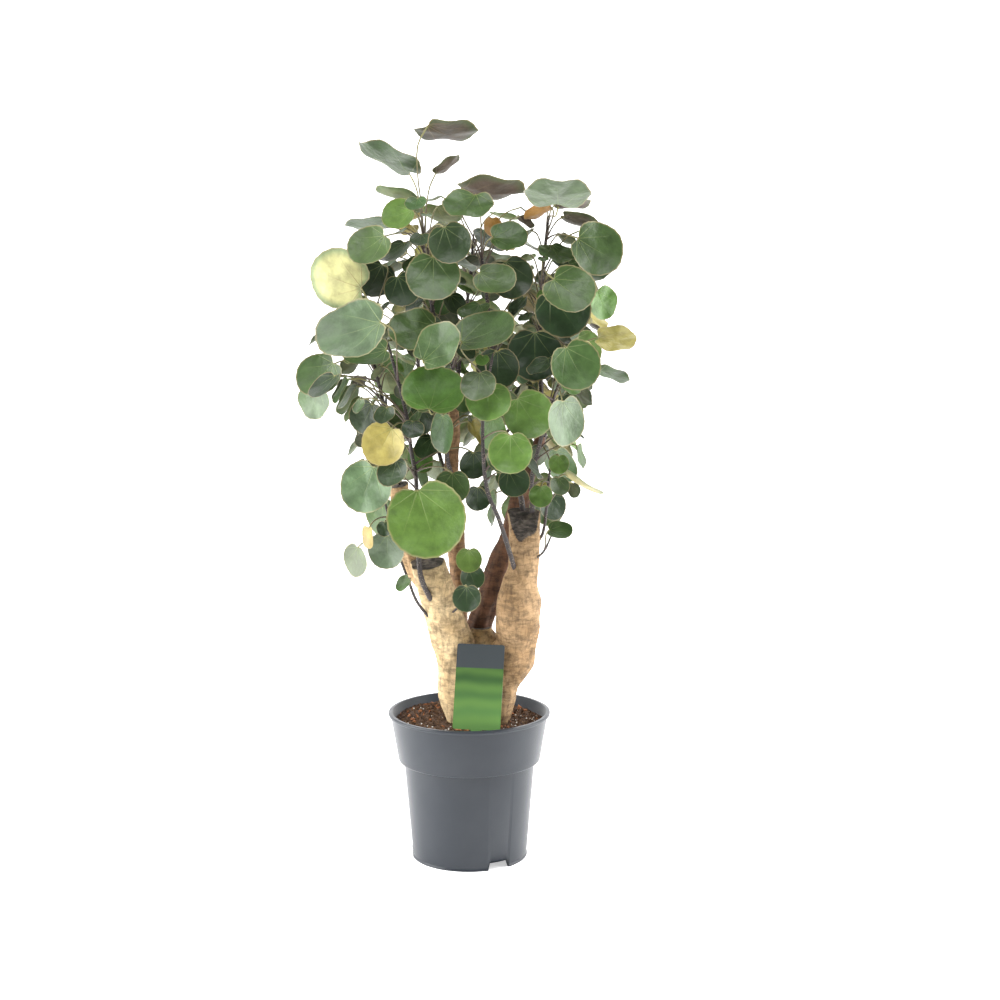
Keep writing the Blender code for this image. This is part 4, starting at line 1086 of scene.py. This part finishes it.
def bark_material():
    """Bark darkened in its cracks and scars and greyed in patches, and dark sawn wood where sawn is 1."""
    made, tree, shader, place = new_material("corky old bark and sawn wood")
    level = add_node(tree, "Mapping", {"Vector": place, "Scale": LEVEL})
    upright = add_node(tree, "Mapping", {"Vector": place, "Scale": UPRIGHT})
    # wood is each limb's bark colour, and on the back stump it holds painted shade.
    wood = add_node(tree, "Attribute", output="Color", attribute_name="wood")
    sawn = add_node(tree, "Attribute", output="Fac", attribute_name="sawn")
    scars = add_node(tree, "TexNoise", (level, SCAR_SCALE, 8.0, 0.72, 2.0, 0.4))
    fibres = add_node(tree, "TexNoise", (upright, FIBRE_SCALE, 5.0, 0.65))
    cloud = add_node(tree, "TexNoise", (place, PATCH_SCALE, 4.0))
    crack = add_node(tree, "MapRange", (fibres, 0.38, 0.52, 0.62, 1.0))
    scar = add_node(tree, "MapRange", (scars, 0.38, 0.58, 0.5, 1.12))
    share = add_node(tree, "Math", (crack, scar), operation="MULTIPLY")
    skin = add_node(tree, "VectorMath", (wood, share), operation="MULTIPLY")
    grey = add_node(tree, "VectorMath", (skin, WEATHER), operation="MULTIPLY")
    patch = add_node(tree, "MapRange", (cloud, 0.42, 0.66, 0.0, 0.75))
    skin = add_node(tree, "Mix", (patch, skin, grey), data_type="RGBA")
    low = add_node(tree, "MapRange", (scars, 0.42, 0.6, 0.0, 1.0))
    face = add_node(tree, "Mix", (low, rgba("2f2a27"), rgba("6d645b")), data_type="RGBA")
    colour = add_node(tree, "Mix", (sawn, skin, face), data_type="RGBA")
    normal = add_node(tree, "Bump", {"Height": scars, "Distance": 0.003, "Strength": 0.9})
    set_inputs(shader, {"Base Color": colour, "Roughness": 0.82, "IOR": 1.45, "Normal": normal})
    return made


# Each limb's bark colour. The back stump's dark brown is painted shade, because it stands in shadow behind
# the other limbs.
LIMB_COLOURS_WITH_PAINTED_SHADE = {
    "left_stump": "d2b98f", "right_stump": "ab8c66", "back_stump": "6b4b36", "middle_bough": "957555",
    "left_bough": "bb9c76",
}
BURL_COLOUR = "b0946c"


def make_limbs():
    limbs = Builder()
    for number, (name, rows) in enumerate(LIMBS.items()):
        cuts = [(np.array(point, float), normal) for limb, point, normal in SAW_CUTS if limb == name]
        add_limb(limbs, rows, 50 + number, LIMB_COLOURS_WITH_PAINTED_SHADE[name], cuts)
    add_limb(limbs, BURL, 60, BURL_COLOUR)
    limbs.piece("bark_of_trunk_and_boughs", "bark", [bark_material()], ["trunk", *LIMBS])


make_limbs()

# %% [markdown]
# The pot is blow-moulded plastic: one thin wall turned round an axis, with a small bead at the rim, a stepped
# collar and a foot ring with drain notches. Its edges are soft, because the plastic cools against the mould.
# A profile of radius and height is carried round a circle, and the foot is lifted where a notch is.

# %% Pot shell
POT_TURNS = 240
MOUTH_RADIUS = RIM_RADIUS - 5
NECK_HEIGHT = COLLAR_FOOT + 1.5
POT_PROFILE = (
    (SEAT_RADIUS - 3, FLOOR), (SEAT_RADIUS + 2, FLOOR_RISE + FLOOR), (FOOT_RADIUS - WALL, FLOOR_RISE + FLOOR),
    (BODY_RADIUS - WALL, COLLAR_FOOT - 1), (COLLAR_RADIUS - WALL, NECK_HEIGHT), (MOUTH_RADIUS, POT_HEIGHT),
    (RIM_RADIUS - 4, POT_HEIGHT), (RIM_RADIUS - 1, POT_HEIGHT), (RIM_RADIUS - 0.3, POT_HEIGHT - 0.4),
    (RIM_RADIUS, POT_HEIGHT - 1), (RIM_RADIUS, POT_HEIGHT - 3), (RIM_RADIUS - 0.4, POT_HEIGHT - 4),
    (RIM_RADIUS - 3, POT_HEIGHT - 5), (RIM_RADIUS - 3.2, POT_HEIGHT - 6),
    (COLLAR_RADIUS + 0.2, COLLAR_FOOT + 2), (COLLAR_RADIUS, COLLAR_FOOT + 0.6),
    (COLLAR_RADIUS - 0.3, COLLAR_FOOT - 0.4),
    (COLLAR_RADIUS - 1.2, COLLAR_FOOT - 1.4), (BODY_RADIUS + 0.6, COLLAR_FOOT - 2.2),
    (BODY_RADIUS, COLLAR_FOOT - 3.4), (BODY_RADIUS - 0.1, COLLAR_FOOT - 5), (FOOT_RADIUS - 0.7, 4.2),
    (FOOT_RADIUS - 0.8, 3.2), (FOOT_RADIUS, 2), (FOOT_RADIUS, 0.4), (FOOT_RADIUS - 0.4, 0),
    (FOOT_RADIUS - 4, 0), (FOOT_RADIUS - 6, FLOOR_RISE), (SEAT_RADIUS + 4, FLOOR_RISE), (SEAT_RADIUS, 0),
)


def lathe(profile, turns):
    """Rings of r (cos a, sin a) at each height of the profile."""
    r, z = np.array(profile, float).T[..., None]
    a = np.linspace(0, 2 * math.pi, turns, endpoint=False)
    return np.stack([r * np.cos(a), r * np.sin(a), np.broadcast_to(z, (len(z), turns))], -1)


def lift_notches(rings):
    """Lifts the points of the foot ring that lie within half a notch's width of a notch's bearing."""
    bearing = np.degrees(np.arctan2(rings[..., 0], -rings[..., 1]))
    half_notch = math.degrees(0.5 * NOTCH_WIDTH / FOOT_RADIUS)
    in_foot = np.hypot(rings[..., 0], rings[..., 1]) > FOOT_RADIUS - 5
    for notch in NOTCH_BEARINGS:
        off = (bearing - notch + 180) % 360 - 180
        inside = (abs(off) < half_notch) & (rings[..., 2] < FLOOR_RISE) & in_foot
        rings[..., 2] = np.where(inside, FLOOR_RISE + 1 + 0.05 * rings[..., 2], rings[..., 2])


# %% Pot plastic
# Scales are in turns per metre: the moulded grain is about 1 mm wide, and the film of dust 70 mm.
GRAIN_SCALE = 900.0
DUST_SCALE = 14.0


def pot_plastic():
    made, tree, shader, place = new_material("blow-moulded slate polypropylene")
    grain = add_node(tree, "TexNoise", (place, GRAIN_SCALE, 2.0))
    cloud = add_node(tree, "TexNoise", (place, DUST_SCALE, 5.0))
    dust = add_node(tree, "MapRange", (cloud, 0.45, 0.7, 0.0, 0.18))
    colour = add_node(tree, "Mix", (dust, rgba("23282f"), rgba("3f4247")), data_type="RGBA")
    normal = add_node(tree, "Bump", {"Height": grain, "Distance": 0.0002, "Strength": 0.5})
    set_inputs(shader, {"Base Color": colour, "Roughness": 0.36, "IOR": 1.42, "Normal": normal})
    return made


def make_pot():
    rings = lathe(POT_PROFILE, POT_TURNS)
    lift_notches(rings)
    middles = np.array([[0, 0, FLOOR], [0, 0, 0]], float)
    shell = Builder()
    shell.add(np.vstack([rings.reshape(-1, 3), middles]), closed_faces(len(rings), POT_TURNS, False))
    shell.piece("pot_shell", "slate_plastic", [pot_plastic()], ["pot"])


make_pot()

# %% [markdown]
# Potting mix is loose: fibrous peat crumbs, white perlite and bits of bark. Particles could be scattered by a
# modifier, but a seeded rule gives the same chips each time. The mound is a round sheet with relief, closed
# below, and the chips are small irregular octahedra strewn on it.

# %% Peat mound
SOIL_RINGS = 46
SOIL_TURNS = 120
SOIL_GAP = 0.5
SOIL_FOOT = COLLAR_FOOT + 5.0
WALL_AT_EDGE = np.interp(SOIL_EDGE, (NECK_HEIGHT, POT_HEIGHT), (COLLAR_RADIUS - WALL, MOUTH_RADIUS))
SOIL_RADIUS = WALL_AT_EDGE - SOIL_GAP
HEAP = 5.0
HEAP_AT = (-55, 45)
HEAP_SIZE = (38, 45)
EDGE_DROP = 3.0
# Fibres are about 3 mm wide, drawn coarser than real ones to show.
PEAT_SCALE = 380.0


def soil_height(x, y):
    """The mound's height: a plain with waves of dents, heaped to the back left and lower at its edge."""
    heap = HEAP * np.exp(-(((x - HEAP_AT[0]) / HEAP_SIZE[0]) ** 2 + ((y - HEAP_AT[1]) / HEAP_SIZE[1]) ** 2))
    dents = 1.1 * np.sin(0.21 * x + 0.9) * np.sin(0.17 * y)
    dents = dents + 0.7 * np.sin(0.47 * x + 0.31 * y)
    dents = dents + 0.5 * np.sin(0.9 * y - 0.7 * x)
    edge = -EDGE_DROP * np.clip((np.hypot(x, y) - 78) / 18, 0, 1)
    return SOIL_TOP + heap + dents + edge - 1.0


def soil_material():
    made, tree, shader, place = new_material("moist fibrous peat")
    fibre = add_node(tree, "TexNoise", (place, PEAT_SCALE, 6.0, 0.7))
    share = add_node(tree, "MapRange", (fibre, 0.4, 0.66, 0.0, 1.0))
    colour = add_node(tree, "Mix", (share, rgba("2e211a"), rgba("6d5340")), data_type="RGBA")
    normal = add_node(tree, "Bump", {"Height": fibre, "Distance": 0.002, "Strength": 1.0})
    set_inputs(shader, {"Base Color": colour, "Roughness": 0.92, "IOR": 1.4, "Normal": normal})
    return made


def make_mound():
    """The mound's rings at even shares of its radius, and a last one drawn in below."""
    shares = np.linspace(0.04, 1, SOIL_RINGS)[:, None]
    turn = np.linspace(0, 2 * math.pi, SOIL_TURNS, endpoint=False)[None, :]
    x, y = SOIL_RADIUS * shares * np.cos(turn), SOIL_RADIUS * shares * np.sin(turn)
    top = np.stack([x, y, soil_height(x, y)], -1)
    skirt = np.stack([0.93 * x[-1:], 0.93 * y[-1:], np.full((1, SOIL_TURNS), SOIL_FOOT)], -1)
    mound = np.concatenate([top, skirt])
    middles = np.array([[0, 0, soil_height(0.0, 0.0)], [0, 0, SOIL_FOOT]])
    builder = Builder()
    builder.add(np.vstack([mound.reshape(-1, 3), middles]), closed_faces(len(mound), SOIL_TURNS))
    builder.piece("peat_mound", "peat", [soil_material()], ["soil"])


make_mound()

# %% Peat crumbs
# Rows are how many chips, their least and largest half size, and their material's number.
CHIP_KINDS = ((2600, (0.8, 2.6), 0), (110, (0.9, 2.0), 1), (90, (1.6, 5.0), 2))
CHIP_FLATNESS = np.array((1.0, 1.0, 0.7))
# Blotches on the chips are about 4 mm wide.
CHIP_SCALE = 240.0


def chip_material(name, dark, light, roughness):
    made, tree, shader, place = new_material(name)
    cloud = add_node(tree, "TexNoise", (place, CHIP_SCALE, 4.0))
    share = add_node(tree, "MapRange", (cloud, 0.35, 0.65, 0.0, 1.0))
    colour = add_node(tree, "Mix", (share, rgba(dark), rgba(light)), data_type="RGBA")
    set_inputs(shader, {"Base Color": colour, "Roughness": roughness, "IOR": 1.4})
    return made


def octahedra(places, sizes, random):
    """Irregular octahedra: six corners on random axes of each chip, scaled by its three sizes."""
    corners = np.array([(1, 0, 0), (-1, 0, 0), (0, 1, 0), (0, -1, 0), (0, 0, 1), (0, 0, -1)], float)
    turns, _ = np.linalg.qr(random.standard_normal((len(places), 3, 3)))
    turns *= np.sign(np.linalg.det(turns))[:, None, None]
    jitter = 1 + 0.25 * random.standard_normal((len(places), 6, 1))
    points = places[:, None] + np.einsum("nij,nkj->nki", turns, corners * jitter * sizes[:, None])
    upper = [(0, 2, 4), (2, 1, 4), (1, 3, 4), (3, 0, 4)]
    lower = [(2, 0, 5), (1, 2, 5), (3, 1, 5), (0, 3, 5)]
    faces = (6 * np.arange(len(places)))[:, None, None] + np.array(upper + lower)
    return points.reshape(-1, 3), faces.reshape(-1, 3)


def strewn(count, random, reach):
    """Places on the mound, even over its area because the radius is a square root, as rows of x, y and z."""
    radius = reach * np.sqrt(random.uniform(0, 1, count))
    turn = random.uniform(0, 2 * math.pi, count)
    x, y = radius * np.cos(turn), radius * np.sin(turn)
    return np.column_stack([x, y, soil_height(x, y)])


def make_crumbs():
    crumbs = Builder()
    random = np.random.default_rng(7)
    for count, sizes, slot in CHIP_KINDS:
        places = strewn(count, random, SOIL_RADIUS - 4)
        size = random.uniform(*sizes, (count, 3)) * CHIP_FLATNESS
        points, faces = octahedra(places, size, random)
        crumbs.add(points, [faces], [slot])
    materials = [
        chip_material("peat crumbs", "33251c", "6a5039", 0.95),
        chip_material("expanded perlite", "c9c5bb", "efece4", 0.9),
        chip_material("pine bark chips", "6b4028", "a86f45", 0.85),
    ]
    crumbs.piece("peat_crumbs", "peat", materials, ["soil"], smooth_faces=False)


make_crumbs()

# %% [markdown]
# The care card is printed plastic, a millimetre thick, pushed into the peat on a stake. Its print is plain: a
# dark band at the top and green bands below it, drawn from the card's own UV map so that they end in a sharp
# line.

# %% Card
CARD_BAND = 0.72


def card_material():
    made, tree, shader, _ = new_material("printed polypropylene card")
    uv = add_node(tree, "UVMap", uv_map="card_uv")
    height = add_node(tree, "SeparateXYZ", (uv,), "Y")
    rise = add_node(tree, "MapRange", (height, 0.0, CARD_BAND, 0.0, 1.0))
    waves = add_node(tree, "TexWave", (uv, 1.6, 3.0), "Fac", bands_direction="Y")
    soft = add_node(tree, "Math", (waves, 0.35), operation="MULTIPLY")
    field = add_node(tree, "Mix", (rise, rgba("557c40"), rgba("1d3a19")), data_type="RGBA")
    field = add_node(tree, "Mix", (soft, field, rgba("63873f")), data_type="RGBA")
    top = add_node(tree, "Math", (height, CARD_BAND), operation="GREATER_THAN")
    print_colour = add_node(tree, "Mix", (top, field, rgba("34393c")), data_type="RGBA")
    set_inputs(shader, {"Base Color": print_colour, "Roughness": 0.35, "IOR": 1.5})
    return made


def card_outline():
    """The card's outline with round corners and a stake, as x and y, anticlockwise from the stake's foot."""
    stake, depth = TAG_STAKE
    half, corner = TAG_WIDTH / 2, TAG_CORNER
    high = TAG_HEIGHT - corner
    rows = [np.array([(-stake / 2, -depth), (stake / 2, -depth), (stake / 2, 0)])]
    for x, y, start in ((half, corner, -90), (half, high, 0), (-half, high, 90), (-half, corner, 180)):
        angle = np.radians(start + 15 * np.arange(7))
        middle = x - math.copysign(corner, x)
        rows.append(np.column_stack([middle + corner * np.cos(angle), y + corner * np.sin(angle)]))
    rows.append(np.array([(-stake / 2, 0)]))
    return np.vstack(rows)


def make_card():
    """Two sheets of the outline, TAG_THICK apart, turned by the card's yaw and leant back."""
    outline = card_outline()
    lean, yaw = math.radians(90 - TAG_LEAN), math.radians(-TAG_YAW)
    spin = np.array(((math.cos(yaw), -math.sin(yaw), 0), (math.sin(yaw), math.cos(yaw), 0), (0, 0, 1)))
    up = spin @ np.array((0, math.cos(lean), math.sin(lean)))
    side = spin @ np.array((1.0, 0, 0))
    face = np.cross(side, up)
    flat = np.array(TAG_FOOT) + outline[:, :1] * side + outline[:, 1:] * up
    sheets = np.vstack([flat + TAG_THICK / 2 * face, flat - TAG_THICK / 2 * face])
    front = np.arange(len(outline))
    back = front + len(outline)
    edge = np.column_stack([front, back, np.roll(back, -1), np.roll(front, -1)])
    card = Builder()
    uv = np.tile(outline / TAG_HEIGHT, (2, 1))
    card.add(sheets, [edge, front[None, :], back[None, ::-1]], card_uv=uv)
    card.piece("care_card", "card", [card_material()], ["tag"], smooth_faces=False)


make_card()

# %% [markdown]
# The studio is a white paper sweep with big soft lights at both sides. They brighten the pot's flanks and
# leave its middle dark, as a shop's product picture does. One more lamp hangs above, and one behind the plant
# washes the paper wall. The sky is bright at the sides and dark toward the camera, for the same reason.

# %% Paper sweep
SWEEP_FRONT = -4000
SWEEP_HALF_WIDTH = 5000
BEND_AT = 2200
BEND_RADIUS = 900
SWEEP_TOP = 5200


def make_sweep():
    """A floor that bends through a quarter circle into a wall behind the plant, as one sheet."""
    a = np.linspace(0, math.pi / 2, 16)
    y = np.concatenate([[SWEEP_FRONT], BEND_AT + BEND_RADIUS * np.sin(a), [BEND_AT + BEND_RADIUS]])
    z = np.concatenate([[0], BEND_RADIUS - BEND_RADIUS * np.cos(a), [SWEEP_TOP]])
    x = np.array((-SWEEP_HALF_WIDTH, SWEEP_HALF_WIDTH))
    grid = np.stack(np.broadcast_arrays(x[None, :], y[:, None], z[:, None]), -1)
    data = bpy.data.meshes.new("studio_sweep")
    faces = grid_faces(len(y), 2, around=False)[:, ::-1]
    data.from_pydata((grid.reshape(-1, 3) * MM).tolist(), [], faces.tolist())
    data.polygons.foreach_set("use_smooth", np.full(len(data.polygons), True))
    paper, _, shader, _ = new_material("white paper sweep")
    white = rgba("ffffff")
    glow = {"Emission Color": white, "Emission Strength": 0.5}
    set_inputs(shader, {"Base Color": rgba("fafafa"), "Roughness": 0.9, "IOR": 1.5, **glow})
    data.materials.append(paper)
    obj = bpy.data.objects.new("studio_sweep", data)
    bpy.context.scene.collection.objects.link(obj)


make_sweep()

# %% Lights and sky
# Rows are a name, its place and the point that it faces in metres, its width and height, and its watts.
LIGHTS = (
    ("left_softbox", (-1.4, -0.3, 0.7), (0, 0, 0.4), (1.6, 1.8), 62),
    ("right_softbox", (1.4, 0.0, 0.7), (0, 0, 0.4), (1.4, 1.8), 46),
    ("top_softbox", (0.0, -0.8, 2.6), (0, 0, 0.5), (1.6, 1.2), 34),
    ("back_wash", (0.0, 1.4, 2.6), (0, 2.6, 0.6), (3.0, 0.8), 60),
)
SKY_SIDES = 0.7
SKY_FRONT = 0.12
SKY_TURN = (-0.35, -0.75)


def soft_light(name, place, aim, size, power):
    """A rectangular lamp, turned and pitched so that it faces its aim."""
    data = bpy.data.lights.new(name, "AREA")
    data.shape = "RECTANGLE"
    data.size, data.size_y = size
    data.energy = power
    obj = bpy.data.objects.new(name, data)
    bpy.context.scene.collection.objects.link(obj)
    to_aim = np.array(aim, float) - place
    yaw = math.atan2(-to_aim[0], to_aim[1])
    pitch = math.atan2(to_aim[2], math.hypot(to_aim[0], to_aim[1]))
    obj.location = place
    obj.rotation_euler = (math.pi / 2 + pitch, 0, yaw)


def make_sky():
    """A white sky, SKY_SIDES bright, that falls to SKY_FRONT where its direction's y passes SKY_TURN."""
    world = bpy.data.worlds.new("studio")
    world.use_nodes = True
    sky = world.node_tree
    ray = add_node(sky, "TexCoord", output="Generated")
    toward = add_node(sky, "SeparateXYZ", (ray,), "Y")
    strength = add_node(sky, "MapRange", (toward, *SKY_TURN, SKY_SIDES, SKY_FRONT))
    set_inputs(sky.nodes["Background"], {"Color": (1, 1, 1, 1), "Strength": strength})
    bpy.context.scene.world = world


for light in LIGHTS:
    soft_light(*light)
make_sky()
bpy.context.scene.view_settings.view_transform = "Standard"
print(len(LIGHTS), "lights")

# %% Camera
# The camera stands where the plant was seen from, in metres, and looks down by EYE_PITCH degrees.
CAMERA_AT = (0.03994, -2.30, 0.80)
EYE_PITCH = 8.20
LENS = 65.39
SENSOR = 36


def make_camera():
    camera = bpy.data.objects.new("camera", bpy.data.cameras.new("camera"))
    bpy.context.scene.collection.objects.link(camera)
    camera.data.lens = LENS
    camera.data.sensor_width = SENSOR
    camera.location = CAMERA_AT
    camera.rotation_euler = (math.radians(90 - EYE_PITCH), 0, 0)
    bpy.context.scene.camera = camera


make_camera()
